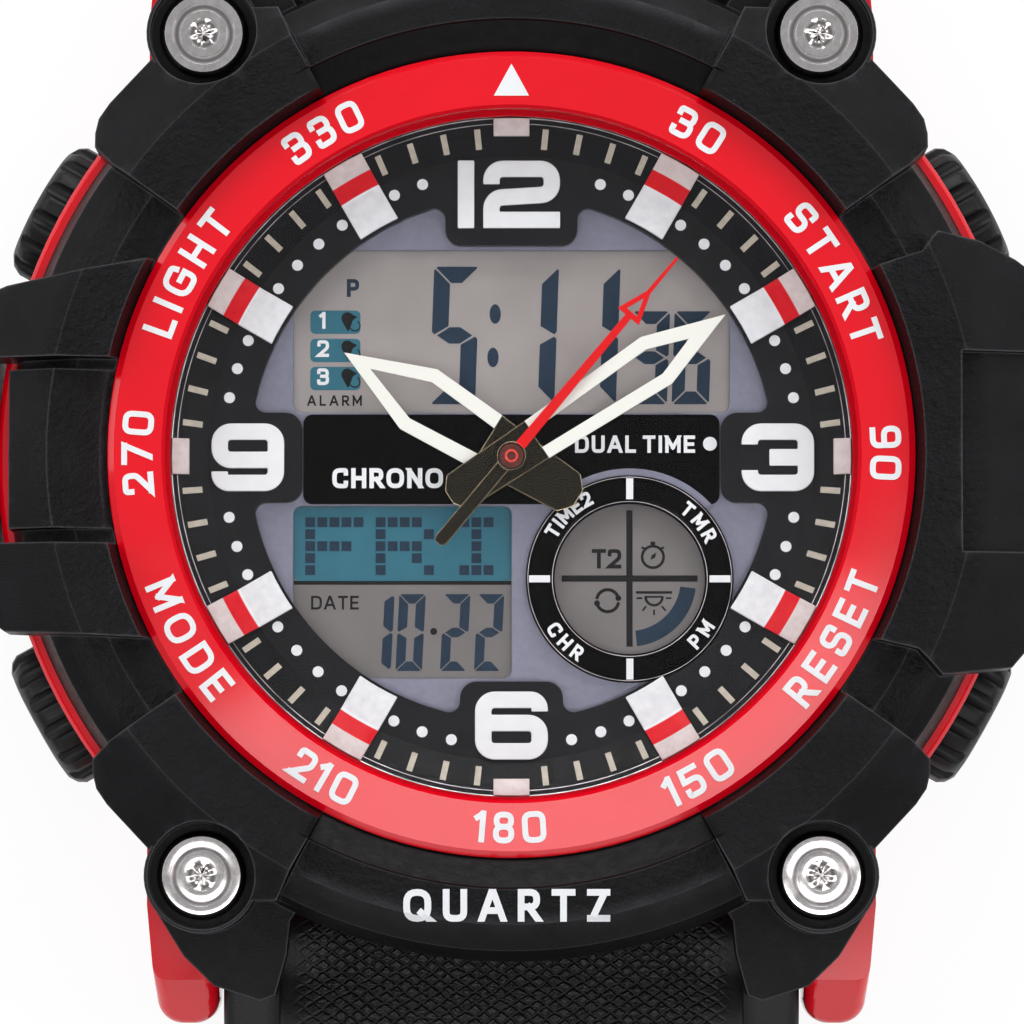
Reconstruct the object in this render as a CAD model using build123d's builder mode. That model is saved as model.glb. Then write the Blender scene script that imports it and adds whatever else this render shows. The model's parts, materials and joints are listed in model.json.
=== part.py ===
from build123d import *
from math import atan2, cos, degrees, hypot, pi, radians, sin, sqrt
import os

os.makedirs("parts", exist_ok=True)

# An ana-digi wristwatch lying open on its back, in millimetres.
# The origin is the centre of the case back's outer face, +Z leaves the dial and +Y points to 12 o'clock.
# The buckle half of the strap lies along +Y and the half with the holes along -Y.

# Case
cavity_radius = 19.0
case_wall = 9.0
case_radius = cavity_radius + case_wall
case_height = 11.0
case_foot_bevel = 1.2
case_rim_bevel = 0.3
ledge_width = 0.5
ledge_radius = cavity_radius - ledge_width
ledge_thickness = 0.6
neck_wall = 2.6
neck_radius = cavity_radius + neck_wall
neck_height = 3.2
seat_gap = 0.03
face_gap = 0.05
cut_overrun = 2.0

# Case back and its screws
back_overlap = 1.6
back_radius = cavity_radius + back_overlap
back_thickness = 1.4
back_proud = 0.6
back_fit_gap = 0.1
back_lobe_radius = 1.9
back_groove_setback = 4.6
back_groove_radius = back_radius - back_groove_setback
back_groove_width = 0.8
back_groove_depth = 0.25
back_screw_offset = 0.8
back_screw_circle = back_radius + back_screw_offset
back_screw_head_radius = 1.2
back_screw_head_height = 0.6
back_screw_radius = 0.6
back_screw_length = 3.6
back_screw_slot = 0.3
back_screw_slot_depth = 0.2
back_gasket_offset = 0.65
back_gasket_radius = cavity_radius + back_gasket_offset
back_gasket_wire = 0.25

case_bottom = back_proud
case_top = case_bottom + case_height
neck_top = case_top + neck_height

# Crystal and marked ring
crystal_overlap = 0.37
crystal_radius = cavity_radius + crystal_overlap
crystal_thickness = 1.8
crystal_bevel = 0.15
crystal_gasket_width = 0.5
ring_overhang = 0.3
ring_inner_radius = cavity_radius - ring_overhang
ring_proud = 0.2
ring_outer_radius = neck_radius + ring_proud
ring_thickness = 0.55
ring_fall = 0.18
ring_bevel_width = 0.35
ring_bevel_drop = 0.22
ring_inner_bevel = 0.18

crystal_bottom = neck_top - crystal_thickness
cavity_top = crystal_bottom - ledge_thickness
crystal_seat_radius = crystal_radius + seat_gap + crystal_gasket_width + seat_gap

# Lugs, spring bars and the gap that takes the strap
lug_gap_half = 16.05
lug_width = 3.9
lug_taper = 0.6
lug_taper_length = 6.5
lug_proud = 2.8
lug_reach = case_radius + lug_proud
lug_root = 15.0
lug_bottom = 0.9
lug_top = 8.2
lug_tip_low = 2.4
lug_tip_high = 5.2
lug_nose_length = 2.4
lug_shoulder_reach = lug_reach - lug_nose_length
lug_tip_corner = 1.4
bar_setback = 4.2
bar_reach = lug_reach - bar_setback
strap_eye_radius = 3.3
strap_start_gap = 0.3
strap_flat = bar_reach - strap_eye_radius - strap_start_gap
bar_height = 4.2
bar_radius = 0.75
bar_end_gap = 0.15
bar_tip_radius = 0.42
bar_tip_length = 1.3
running_gap = 0.05

# Pushers, at 2, 4, 8 and 10 o'clock
pusher_angle = 29.0
pusher_height = 5.8
pusher_proud = 1.8
pusher_reach = case_radius + pusher_proud
pusher_head_length = 3.0
pusher_head_radius = 4.0
pusher_dome_width = 0.7
pusher_dome_drop = 0.4
pusher_travel = 1.0
pusher_rib_count = 14
pusher_rib_radius = 0.48
pusher_pocket_gap = 0.5
pusher_end_gap = 0.2
stem_radius = 0.9
stem_inner_length = 0.8
stem_reach = cavity_radius - stem_inner_length
stem_groove_radius = 0.6
spring_bore_radius = 1.9
spring_bore_wall = 3.5
spring_bore_floor = cavity_radius + spring_bore_wall
spring_wire = 0.28
spring_turns = 5
spring_coil_radius = 1.45
seal_offset = 2.0
seal_reach = cavity_radius + seal_offset
seal_wire_radius = 0.32
seal_groove_depth = 0.7
seal_groove_width = 0.8
pusher_clip_radius = 1.7
pusher_clip_thickness = 0.3

# Black bezel shell: heights are of its own rim, ridge and foot
shell_inner_gap = 0.05
shell_foot_setback = 0.6
shell_foot_radius = case_radius - shell_foot_setback
shell_edge_setback = 1.2
shell_edge_radius = case_radius - shell_edge_setback
shell_rim_rise = 0.0
plain_ridge_setback = 4.1
plain_ridge_radius = case_radius - plain_ridge_setback
plain_ridge_rise = 3.6
plain_edge_rise = 1.9
band_half_angle = 27.6
band_ridge_setback = 4.5
band_ridge_radius = case_radius - band_ridge_setback
band_ridge_rise = 4.3
band_break_setback = 2.6
band_break_radius = case_radius - band_break_setback
band_break_rise = 4.05
band_edge_rise = 2.9
band_skirt_drop = 2.4
band_skirt_gap = 0.1
shield_end_angle = 54.3
shield_span_setback = 5.6
shield_span = case_radius - shield_span_setback
shield_crest_setback = 5.75
shield_crest_radius = case_radius - shield_crest_setback
shield_crest_rise = 4.9
shield_ridge_setback = 2.6
shield_ridge_radius = case_radius - shield_ridge_setback
shield_ridge_rise = 5.35
shield_plate_proud = 1.6
shield_plate_radius = case_radius + shield_plate_proud
shield_plate_rise = 3.2
guard_ridge_setback = 3.0
guard_ridge_radius = case_radius - guard_ridge_setback
guard_ridge_rise = 5.5
guard_plate_rise = 3.4
guard_plate_proud = 2.6
guard_plate_radius = case_radius + guard_plate_proud
guard_low_ridge_rise = 4.7
guard_bottom = 3.0
guard_proud = 1.0
guard_reach = case_radius + guard_proud
guard_skirt_half = 8.8
panel_length = 4.8
panel_inner_reach = guard_reach - panel_length
panel_half_length = 5.4
panel_depth = 0.9

# Lug screws that hold the shell down
rivet_inset = 0.6
rivet_x = lug_gap_half + rivet_inset
rivet_setback = 5.25
rivet_y = case_radius - rivet_setback
rivet_boss_radius = 3.1
rivet_boss_rise = 3.7
rivet_recess_radius = 2.9
rivet_recess_depth = 0.95
rivet_cap_radius = 2.4
rivet_face_radius = 2.1
rivet_cap_height = 0.9
rivet_shank_radius = 0.6
rivet_post_radius = 1.6
rivet_thread_depth = 3.0
tongue_width = 3.35
tongue_bottom = 8.5
tongue_rise = 0.9
tongue_bevel = 0.8

# Dial side of the module, from the board up to the crystal
lcd_rim_gap = 2.0
lcd_radius = cavity_radius - lcd_rim_gap
lcd_thickness = 1.2
dial_fit_gap = 0.1
dial_radius = cavity_radius - dial_fit_gap
dial_thickness = 0.4
hand_hole_radius = 0.95
chapter_width = 4.7
chapter_inner_radius = cavity_radius - chapter_width
chapter_slope_width = 2.5
chapter_flat_radius = cavity_radius - chapter_slope_width
chapter_flat_rise = 0.92
tab_corner = 0.9
tab_root_corner = 0.6
tab_top_half = 3.6
tab_top_length = 2.7
tab_top_reach = chapter_inner_radius - tab_top_length
tab_foot_half = 2.8
tab_foot_length = 2.1
tab_foot_reach = chapter_inner_radius - tab_foot_length
tab_side_half = 2.45
tab_side_length = 2.9
tab_side_reach = chapter_inner_radius - tab_side_length
marker_width = 2.35
quarter_mark_span = 1.95
marker_setback = 0.15
marker_inner_radius = chapter_inner_radius + marker_setback
marker_thickness = 0.35
marker_edge_gap = 0.08
quarter_mark_width = 1.5
quarter_mark_inner_radius = cavity_radius - quarter_mark_width
numeral_stroke = 0.9
numeral_height = 3.7
numeral_half_width = 1.98
numeral_thickness = 0.2
numeral_corner = 0.62
numeral_end_corner = 0.5
numeral_foot_setback = 0.3
numeral_foot_reach = chapter_inner_radius + numeral_foot_setback
numeral_left_setback = 0.05
numeral_left_reach = chapter_inner_radius + numeral_left_setback
numeral_right_setback = 0.2
numeral_right_reach = chapter_inner_radius + numeral_right_setback
numeral_top_setback = 0.08
numeral_top_reach = chapter_inner_radius + numeral_top_setback
one_reach = 2.48
two_shift = 0.555
two_half_width = 2.095
window_side_margin = 2.4
window_side = chapter_inner_radius - window_side_margin
window_top_margin = 2.9
window_top = chapter_inner_radius - window_top_margin
window_crossbar_gap = 0.1
window_foot_margin = 2.3
window_foot = chapter_inner_radius - window_foot_margin
window_corner = 0.5
crossbar_end_margin = 2.95
crossbar_half_length = chapter_inner_radius - crossbar_end_margin
crossbar_top = 2.4
crossbar_foot = 2.5
crossbar_thickness = 0.2
subdial_x = 6.44
subdial_y = 6.6
subdial_outer_radius = 5.66
subdial_inner_radius = 4.1
subdial_thickness = 0.65
subdial_edge = 0.12

# Hands
hand_thickness = 0.15
hour_hand_rise = 1.3
minute_hand_rise = 1.7
second_hand_rise = 2.05
hour_hand_angle = 302.0
minute_hand_angle = 56.4
second_hand_angle = 39.9
hour_hand_setback = 3.55
hour_hand_length = chapter_inner_radius - hour_hand_setback
hour_hand_half_width = 1.92
minute_hand_setback = 0.3
minute_hand_length = chapter_inner_radius - minute_hand_setback
minute_hand_half_width = 1.53
second_hand_setback = 0.2
second_hand_length = chapter_inner_radius - second_hand_setback
second_hand_half_width = 0.75
second_boss_radius = 0.78
second_boss_height = 0.15
hand_fit_gap = 0.02

# Movement
battery_radius = 8.0
battery_thickness = 2.0
battery_offset = 5.0
battery_lift = 0.7
sheet_thickness = 0.2
battery_clip_width = 4.0
board_lift = 0.6
board_thickness = 0.8
chip_side = 5.0
chip_height = 0.9
chip_x = 6.0
chip_y = 7.5
plate_thickness = 0.4
frame_rim_gap = 2.0
frame_radius = cavity_radius - frame_rim_gap
frame_wall = 1.3
board_fit_gap = 0.1
board_radius = frame_radius - frame_wall - board_fit_gap
plate_setback = 3.4
plate_radius = board_radius - plate_setback
frame_shelf = 0.8
wheel_thickness = 0.28
layer_gap = 0.1
bridge_thickness = 0.2
bridge_radius = 8.9
bridge_post_radius = 0.6
bridge_post_circle = 8.0
bridge_post_count = 3
pivot_radius = 0.12
pivot_gap = 0.03
arbor_radius = 0.2
second_arbor_radius = 0.25
minute_tube_radius = 0.5
minute_bore_radius = 0.32
hour_tube_radius = 0.75
hour_bore_radius = 0.58
rotor_reach = 7.0
rotor_magnet_radius = 0.9
rotor_magnet_height = 0.8
stator_hole_radius = 1.1
stator_thickness = 0.4
stator_half_length = 5.8
stator_limb_half = 1.6
stator_arm_width = 1.9
stator_edge_gap = 0.2
stator_arm_reach = plate_radius - stator_edge_gap
coil_core_width = 1.2
coil_radius = 0.95
coil_half_length = 3.4
buzzer_radius = 6.5
buzzer_thickness = 0.25
buzzer_offset = 6.0
strip_half_length = 5.8
strip_width = 1.2
strip_setback = 2.0
strip_reach = board_radius - strip_setback
led_size = 1.2
led_setback = 2.7
led_reach = board_radius - led_setback
contact_thickness = 0.12
contact_half_angle = 7.0
contact_height = 2.0

board_bottom = back_thickness + battery_lift + sheet_thickness + battery_thickness + board_lift
board_top = board_bottom + board_thickness
plate_top = board_top + plate_thickness
battery_bottom = back_thickness + battery_lift + sheet_thickness
layer_step = wheel_thickness + layer_gap
layer_1 = plate_top + layer_gap
layer_2 = layer_1 + layer_step
layer_3 = layer_2 + layer_step
layer_4 = layer_3 + layer_step
bridge_bottom = layer_4 + layer_step
bridge_top = bridge_bottom + bridge_thickness
layer_5 = bridge_top + layer_gap
layer_6 = layer_5 + layer_step
lcd_bottom = layer_6 + layer_step
lcd_top = lcd_bottom + lcd_thickness
dial_top = lcd_top + dial_thickness
chapter_flat = dial_top + chapter_flat_rise

# Strap halves, keeper and buckle, measured outward from the middle of the case
strap_side_gap = 0.25
strap_half_width = lug_gap_half - strap_side_gap
strap_wide_run = 6.4
strap_wide_reach = bar_reach + strap_wide_run
strap_waist_run = 20.4
strap_waist_reach = bar_reach + strap_waist_run
strap_waist_half_width = 12.2
strap_level_run = 35.4
strap_level_reach = bar_reach + strap_level_run
strap_level_half_width = 11.0
strap_thickness = 3.0
strap_base_run = 4.9
strap_base_reach = bar_reach + strap_base_run
strap_crown_run = 3.4
strap_crown_reach = bar_reach + strap_crown_run
strap_crown_height = 7.0
strap_shoulder_run = 9.4
strap_shoulder_reach = bar_reach + strap_shoulder_run
strap_shoulder_height = 5.6
strap_slope_run = 18.4
strap_slope_reach = bar_reach + strap_slope_run
strap_slope_height = 4.2
lower_strap_run = 125.4
lower_strap_reach = bar_reach + lower_strap_run
lower_strap_end_half_width = 10.5
lower_strap_end_thickness = 2.6
lower_strap_tip_corner = 8.0
lower_hole_radius = 1.1
lower_hole_run = 49.4
lower_hole_start = bar_reach + lower_hole_run
lower_hole_pitch = 6.5
lower_hole_count = 11
pad_half_width = 11.8
pad_waist_half_width = 10.2
pad_end_half_width = 9.4
pad_start_run = 1.8
pad_start = bar_reach + pad_start_run
pad_start_height = 8.6
pad_crown_run = 4.9
pad_crown_reach = bar_reach + pad_crown_run
pad_crown_height = 8.4
pad_rise = 1.2
pad_slope_rise = 0.96
pad_level_rise = 0.48
pad_end_run = 39.4
pad_end = bar_reach + pad_end_run
pad_root_height = 4.6
keeper_lift = 1.3
keeper_length = 8.0
keeper_inner_half = 11.6
keeper_wall = 1.2
keeper_gap = 0.1
keeper_opening = 7.4
keeper_corner = 0.8
buckle_bar_run = 71.4
buckle_bar_reach = bar_reach + buckle_bar_run
keeper_setback = 14.0
keeper_reach = buckle_bar_reach - keeper_setback
buckle_bar_radius = 0.75
buckle_eye_radius = 1.6
buckle_slot_half = 1.7
buckle_slot_length = 4.5
buckle_inner_half = 11.35
buckle_arm_width = 2.2
buckle_arm_back = 1.8
buckle_arm_height = 4.4
buckle_arm_low = 1.2
buckle_length = 16.0
buckle_front_reach = buckle_bar_reach + buckle_length
buckle_front_width = 2.6
buckle_front_height = 2.6
buckle_bar_height = keeper_lift + strap_thickness / 2
buckle_corner = 2.0
buckle_bar_end = 0.65
prong_half_width = 1.3
prong_thickness = 1.05
prong_gap = 0.1
prong_tip_overhang = 0.2

upper = 1
lower = -1


def ring_face(outer, inner, height):
    """Flat ring about the watch's centre line at one height."""
    with BuildSketch(Plane.XY.offset(height)) as face:
        Circle(outer)
        Circle(inner, mode=Mode.SUBTRACT)
    return face.sketch


def disc_face(radius, height, centre=(0, 0)):
    """Flat disc at one height, about any upright line."""
    with BuildSketch(Plane((centre[0], centre[1], height))) as face:
        Circle(radius)
    return face.sketch


def plan_face(points, height):
    """Closed outline of straight lines seen from above."""
    with BuildSketch(Plane.XY.offset(height)) as face:
        with BuildLine():
            Polyline(*points, close=True)
        make_face()
    return face.sketch


def radial_face(points, angle=0.0, height=0.0, centre=(0, 0)):
    """Closed outline of radius and height, standing on a radial plane, ready to be turned."""
    turn = radians(angle)
    plane = Plane(
        (centre[0], centre[1], height),
        x_dir=(cos(turn), sin(turn), 0),
        z_dir=(sin(turn), -cos(turn), 0),
    )
    with BuildSketch(plane) as face:
        with BuildLine():
            Polyline(*points, close=True)
        make_face()
    return face.sketch


def strap_face(points, side, half_width):
    """Closed outline of reach and height, on the far edge plane of one strap half."""
    plane = Plane((-side * half_width, 0, 0), x_dir=(0, side, 0), z_dir=(side, 0, 0))
    with BuildSketch(plane) as face:
        with BuildLine():
            Polyline(*points, close=True)
        make_face()
    return face.sketch


def strap_disc(radius, reach, height, side, half_width):
    """Disc whose axis lies across the watch, on the same plane as strap_face."""
    plane = Plane((-side * half_width, side * reach, height), x_dir=(0, side, 0), z_dir=(side, 0, 0))
    with BuildSketch(plane) as face:
        Circle(radius)
    return face.sketch


def four_ways(shape):
    """The shape and its mirror images about the two upright middle planes."""
    across = shape.mirror(Plane.YZ)
    return [shape, across, shape.mirror(Plane.XZ), across.mirror(Plane.XZ)]


# Case body: the red case with its neck, lug wings, pusher pockets and the posts under the lug screws
pusher_angles = {
    "start": pusher_angle,
    "light": 180 - pusher_angle,
    "mode": 180 + pusher_angle,
    "reset": 360 - pusher_angle,
}
pusher_pocket_floor = pusher_reach - pusher_head_length - pusher_travel - pusher_end_gap
pusher_head_inner = pusher_reach - pusher_head_length
stem_bore = stem_radius + running_gap


def pusher_axis(angle):
    """The line along which one pusher moves."""
    return Axis((0, 0, pusher_height), (cos(radians(angle)), sin(radians(angle)), 0))


def lug_wing():
    """One lug wing, at 12 o'clock on the 3 o'clock side."""
    side_outline = [
        (lug_root, lug_bottom),
        (lug_shoulder_reach, lug_bottom),
        (lug_reach, lug_tip_low),
        (lug_reach, lug_tip_high),
        (lug_shoulder_reach, lug_top),
        (lug_root, lug_top),
    ]
    wing_reach = lug_gap_half + lug_width
    with BuildPart() as wing:
        with BuildSketch(Plane.XY.offset(lug_bottom)):
            with BuildLine():
                Polyline(
                    (lug_gap_half, lug_root),
                    (wing_reach, lug_root),
                    (wing_reach, lug_reach - lug_taper_length),
                    (wing_reach - lug_taper, lug_reach),
                    (lug_gap_half, lug_reach),
                    close=True,
                )
            make_face()
        extrude(amount=lug_top - lug_bottom)
        fillet(wing.edges().filter_by(Axis.Z).group_by(Axis.Y)[-1], lug_tip_corner)
        extrude(strap_face(side_outline, upper, wing_reach), amount=2 * wing_reach, mode=Mode.INTERSECT)
        fillet(wing.edges().filter_by(Axis.X).group_by(Axis.Y)[-1], lug_tip_corner / 2)
    return wing.part


def back_outline(growth, height):
    """Outline of the case back: a disc with four lobes for its screws."""
    with BuildSketch(Plane.XY.offset(height)) as face:
        Circle(back_radius + growth)
        with PolarLocations(back_screw_circle, 4, start_angle=45):
            Circle(back_lobe_radius + growth)
    return face.sketch


case_outline = [
    (0, case_bottom),
    (case_radius - case_foot_bevel, case_bottom),
    (case_radius, case_bottom + case_foot_bevel),
    (case_radius, case_top - case_rim_bevel),
    (case_radius - case_rim_bevel, case_top),
    (neck_radius, case_top),
    (neck_radius, neck_top),
    (0, neck_top),
]
pusher_bore_outline = [
    (0, 0),
    (case_radius + cut_overrun, 0),
    (case_radius + cut_overrun, pusher_head_radius + pusher_pocket_gap),
    (pusher_pocket_floor, pusher_head_radius + pusher_pocket_gap),
    (pusher_pocket_floor, spring_bore_radius),
    (spring_bore_floor, spring_bore_radius),
    (spring_bore_floor, stem_bore),
    (seal_reach + seal_groove_width / 2, stem_bore),
    (seal_reach + seal_groove_width / 2, stem_radius + seal_groove_depth),
    (seal_reach - seal_groove_width / 2, stem_radius + seal_groove_depth),
    (seal_reach - seal_groove_width / 2, stem_bore),
    (0, stem_bore),
]
back_gasket_groove_half = back_gasket_wire + running_gap
rivet_centres = [(x * rivet_x, y * rivet_y) for x in (-1, 1) for y in (-1, 1)]
rivet_post_foot = lug_top - rivet_post_radius / 2
wings = four_ways(lug_wing())

with BuildPart() as case_body:
    revolve(radial_face(case_outline), axis=Axis.Z)
    for side in (upper, lower):
        with BuildSketch(Plane.XY.offset(case_bottom)):
            with Locations((0, side * (strap_flat + case_radius) / 2)):
                Rectangle(2 * lug_gap_half, case_radius - strap_flat)
        extrude(amount=case_height, mode=Mode.SUBTRACT)
    add(wings)
    for centre in rivet_centres:
        extrude(disc_face(rivet_post_radius, rivet_post_foot, centre), amount=case_top - rivet_post_foot)
        thread = disc_face(rivet_shank_radius + seat_gap, case_top - rivet_thread_depth, centre)
        extrude(thread, amount=rivet_thread_depth, mode=Mode.SUBTRACT)
    extrude(disc_face(cavity_radius, back_thickness), amount=cavity_top - back_thickness, mode=Mode.SUBTRACT)
    extrude(disc_face(ledge_radius, cavity_top), amount=ledge_thickness, mode=Mode.SUBTRACT)
    extrude(disc_face(crystal_seat_radius, crystal_bottom), amount=crystal_thickness, mode=Mode.SUBTRACT)
    extrude(back_outline(back_fit_gap, case_bottom), amount=back_thickness - case_bottom, mode=Mode.SUBTRACT)
    extrude(
        ring_face(
            back_gasket_radius + back_gasket_groove_half,
            back_gasket_radius - back_gasket_groove_half,
            back_thickness,
        ),
        amount=2 * back_gasket_wire,
        mode=Mode.SUBTRACT,
    )
    with BuildSketch(Plane.XY.offset(back_thickness)):
        with PolarLocations(back_screw_circle, 4, start_angle=45):
            Circle(back_screw_radius + seat_gap)
    extrude(amount=back_screw_length - back_thickness + face_gap, mode=Mode.SUBTRACT)
    for angle in pusher_angles.values():
        revolve(
            radial_face(pusher_bore_outline, angle, pusher_height),
            axis=pusher_axis(angle),
            mode=Mode.SUBTRACT,
        )
    for side in (upper, lower):
        bar_hole_half = lug_gap_half + bar_tip_length + bar_end_gap
        hole = strap_disc(bar_tip_radius + running_gap, bar_reach, bar_height, side, bar_hole_half)
        extrude(hole, amount=2 * bar_hole_half, mode=Mode.SUBTRACT)
case_body.part.label = "case_body"
export_step(case_body.part, "parts/case_body.step")


# Case back: a plate with four screw lobes, seated in the case from below
back_screw_outline = [
    (0, 0),
    (back_screw_head_radius, 0),
    (back_screw_radius, back_screw_head_height),
    (back_screw_radius, back_screw_length),
    (0, back_screw_length),
]
back_screw_hole_outline = [
    (0, 0),
    (back_screw_head_radius + seat_gap, 0),
    (back_screw_radius + seat_gap, back_screw_head_height + seat_gap),
    (back_screw_radius + seat_gap, back_thickness),
    (0, back_thickness),
]
back_screw_centres = [
    (back_screw_circle * cos(radians(turn)), back_screw_circle * sin(radians(turn)))
    for turn in (45, 135, 225, 315)
]
with BuildPart() as case_back:
    extrude(back_outline(0, 0), amount=back_thickness)
    groove_outer = back_groove_radius + back_groove_width
    extrude(ring_face(groove_outer, back_groove_radius, 0), amount=back_groove_depth, mode=Mode.SUBTRACT)
    for centre in back_screw_centres:
        revolve(
            radial_face(back_screw_hole_outline, centre=centre),
            axis=Axis((*centre, 0), (0, 0, 1)),
            mode=Mode.SUBTRACT,
        )
case_back.part.label = "case_back"
export_step(case_back.part, "parts/case_back.step")

with BuildPart() as case_back_screws:
    for centre in back_screw_centres:
        revolve(radial_face(back_screw_outline, centre=centre), axis=Axis((*centre, 0), (0, 0, 1)))
    with BuildSketch(Plane.XY):
        with Locations(*back_screw_centres):
            Rectangle(2 * back_screw_head_radius, back_screw_slot, rotation=45)
            Rectangle(back_screw_slot, 2 * back_screw_head_radius, rotation=45)
    extrude(amount=back_screw_slot_depth, mode=Mode.SUBTRACT)
case_back_screws.part.label = "case_back_screws"
export_step(case_back_screws.part, "parts/case_back_screws.step")

# Back gasket: a rubber ring squeezed in its groove between the case and the back
with BuildPart() as back_gasket:
    extrude(
        ring_face(
            back_gasket_radius + back_gasket_wire,
            back_gasket_radius - back_gasket_wire,
            back_thickness,
        ),
        amount=2 * back_gasket_wire,
    )
    fillet(back_gasket.edges().group_by(Axis.Z)[-1], back_gasket_wire / 2)
back_gasket.part.label = "back_gasket"
export_step(back_gasket.part, "parts/back_gasket.step")

# Crystal with its gasket
with BuildPart() as crystal:
    extrude(disc_face(crystal_radius, crystal_bottom), amount=crystal_thickness)
    chamfer(crystal.edges().group_by(Axis.Z)[-1], crystal_bevel)
crystal.part.label = "crystal"
export_step(crystal.part, "parts/crystal.step")

with BuildPart() as crystal_gasket:
    gasket_inner = crystal_radius + seat_gap
    gasket_face = ring_face(gasket_inner + crystal_gasket_width, gasket_inner, crystal_bottom)
    extrude(gasket_face, amount=crystal_thickness)
crystal_gasket.part.label = "crystal_gasket"
export_step(crystal_gasket.part, "parts/crystal_gasket.step")

# Marked ring: the red ring over the edge of the crystal, falling a little outwards
ring_top = neck_top + ring_thickness
ring_outline = [
    (ring_inner_radius, neck_top),
    (ring_outer_radius, neck_top),
    (ring_outer_radius, ring_top - ring_fall - ring_bevel_drop),
    (ring_outer_radius - ring_bevel_width, ring_top - ring_fall),
    (ring_inner_radius + ring_inner_bevel, ring_top),
    (ring_inner_radius, ring_top - ring_inner_bevel),
]
with BuildPart() as bezel_ring:
    revolve(radial_face(ring_outline), axis=Axis.Z)
bezel_ring.part.label = "bezel_ring"
export_step(bezel_ring.part, "parts/bezel_ring.step")

# Bezel shell: one black moulding of plain arcs, two bands, four corner shields, side guards and lug tongues
shell_inner = ring_outer_radius + shell_inner_gap
shell_rim = neck_top + shell_rim_rise
shield_outline_shares = [
    (0.446, 0.852),
    (0.528, 1.0),
    (0.562, 1.076),
    (0.72, 1.076),
    (0.87, 0.953),
    (0.97, 0.846),
    (0.996, 0.808),
    (1.004, 0.772),
    (1.004, 0.737),
    (0.96, 0.692),
    (0.79, 0.571),
]
tongue_outline_shares = [
    (0.534, 0.85),
    (0.619, 0.947),
    (0.629, 1.015),
    (0.66, 1.098),
    (0.701, 1.109),
    (0.83, 1.079),
    (0.915, 1.019),
    (0.995, 0.925),
    (1.021, 0.846),
    (0.974, 0.74),
]
guard_right_shares = [
    (0.672, 0.345),
    (0.762, 0.372),
    (0.79, 0.41),
    (0.869, 0.393),
    (0.938, 0.359),
    (0.985, 0.325),
    (1.0, 0.27),
    (1.0, -0.27),
    (0.98, -0.34),
    (0.928, -0.4),
    (0.797, -0.414),
    (0.752, -0.366),
    (0.666, -0.345),
]
guard_left_upper_shares = [(-0.666, 0.362), (-0.938, 0.31), (-1.0, 0.285), (-1.0, 0.176), (-0.72, 0.176)]
guard_left_middle_shares = [(-0.72, 0.155), (-0.935, 0.155), (-0.935, -0.141), (-0.72, -0.141)]
guard_left_lower_shares = [(-0.72, -0.169), (-1.0, -0.169), (-1.0, -0.29), (-0.94, -0.333), (-0.67, -0.345)]


def scaled(shares, across, along):
    """Plan outline from shares of two sizes."""
    return [(x * across, y * along) for x, y in shares]


def shell_profile(crest_radius, crest, ridge_radius, ridge, edge_radius, edge, foot_radius):
    """Radial outline of one stretch of the shell, from its inner wall over the ridge to its foot."""
    return [
        (shell_inner, case_top),
        (shell_inner, shell_rim),
        (crest_radius, case_top + crest),
        (ridge_radius, case_top + ridge),
        (edge_radius, case_top + edge),
        (foot_radius, case_top),
    ]


plain_profile = [
    (shell_inner, case_top),
    (shell_inner, shell_rim),
    (plain_ridge_radius, case_top + plain_ridge_rise),
    (shell_edge_radius, case_top + plain_edge_rise),
    (shell_foot_radius, case_top),
]
band_profile = shell_profile(
    band_ridge_radius,
    band_ridge_rise,
    band_break_radius,
    band_break_rise,
    shell_edge_radius,
    band_edge_rise,
    shell_foot_radius,
)
shield_profile = shell_profile(
    shield_crest_radius,
    shield_crest_rise,
    shield_ridge_radius,
    shield_ridge_rise,
    shield_plate_radius,
    shield_plate_rise,
    shield_plate_radius,
)
guard_profile = shell_profile(
    shield_crest_radius,
    shield_crest_rise,
    guard_ridge_radius,
    guard_ridge_rise,
    guard_plate_radius,
    guard_plate_rise,
    guard_plate_radius,
)
guard_low_profile = shell_profile(
    shield_crest_radius,
    plain_ridge_rise,
    guard_ridge_radius,
    guard_low_ridge_rise,
    guard_plate_radius,
    guard_plate_rise - plain_edge_rise,
    guard_plate_radius,
)


def corner_shield():
    """The shield at 1 o'clock with the boss around its lug screw."""
    with BuildPart() as shield:
        start = 90 - shield_end_angle
        arc = shield_end_angle - band_half_angle
        spread = arc
        revolve(radial_face(shield_profile, start - spread), axis=Axis.Z, revolution_arc=arc + 2 * spread)
        outline = plan_face(scaled(shield_outline_shares, shield_span, shield_span), case_top)
        extrude(outline, amount=shield_ridge_rise + cut_overrun, mode=Mode.INTERSECT)
        extrude(disc_face(rivet_boss_radius, case_top, (rivet_x, rivet_y)), amount=rivet_boss_rise)
    return shield.part


def lug_tongue():
    """The lower plate over one lug wing, with a bevelled upper rim."""
    with BuildPart() as tongue:
        outline = scaled(tongue_outline_shares, lug_gap_half + tongue_width, bar_reach)
        rim_height = case_top + tongue_rise - tongue_bevel
        extrude(plan_face(outline, tongue_bottom), amount=rim_height - tongue_bottom)
        extrude(plan_face(outline, rim_height), amount=tongue_bevel, taper=45)
    return tongue.part


def side_guard(shares, profile):
    """One guard block over the side of the case."""
    with BuildPart() as guard:
        middle = degrees(atan2(sum(y for x, y in shares), sum(x for x, y in shares)))
        revolve(radial_face(profile, middle - 45), axis=Axis.Z, revolution_arc=90)
        outline = plan_face(scaled(shares, guard_reach, guard_reach), case_top)
        extrude(outline, amount=guard_plate_radius, mode=Mode.INTERSECT)
    return guard.part


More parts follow.
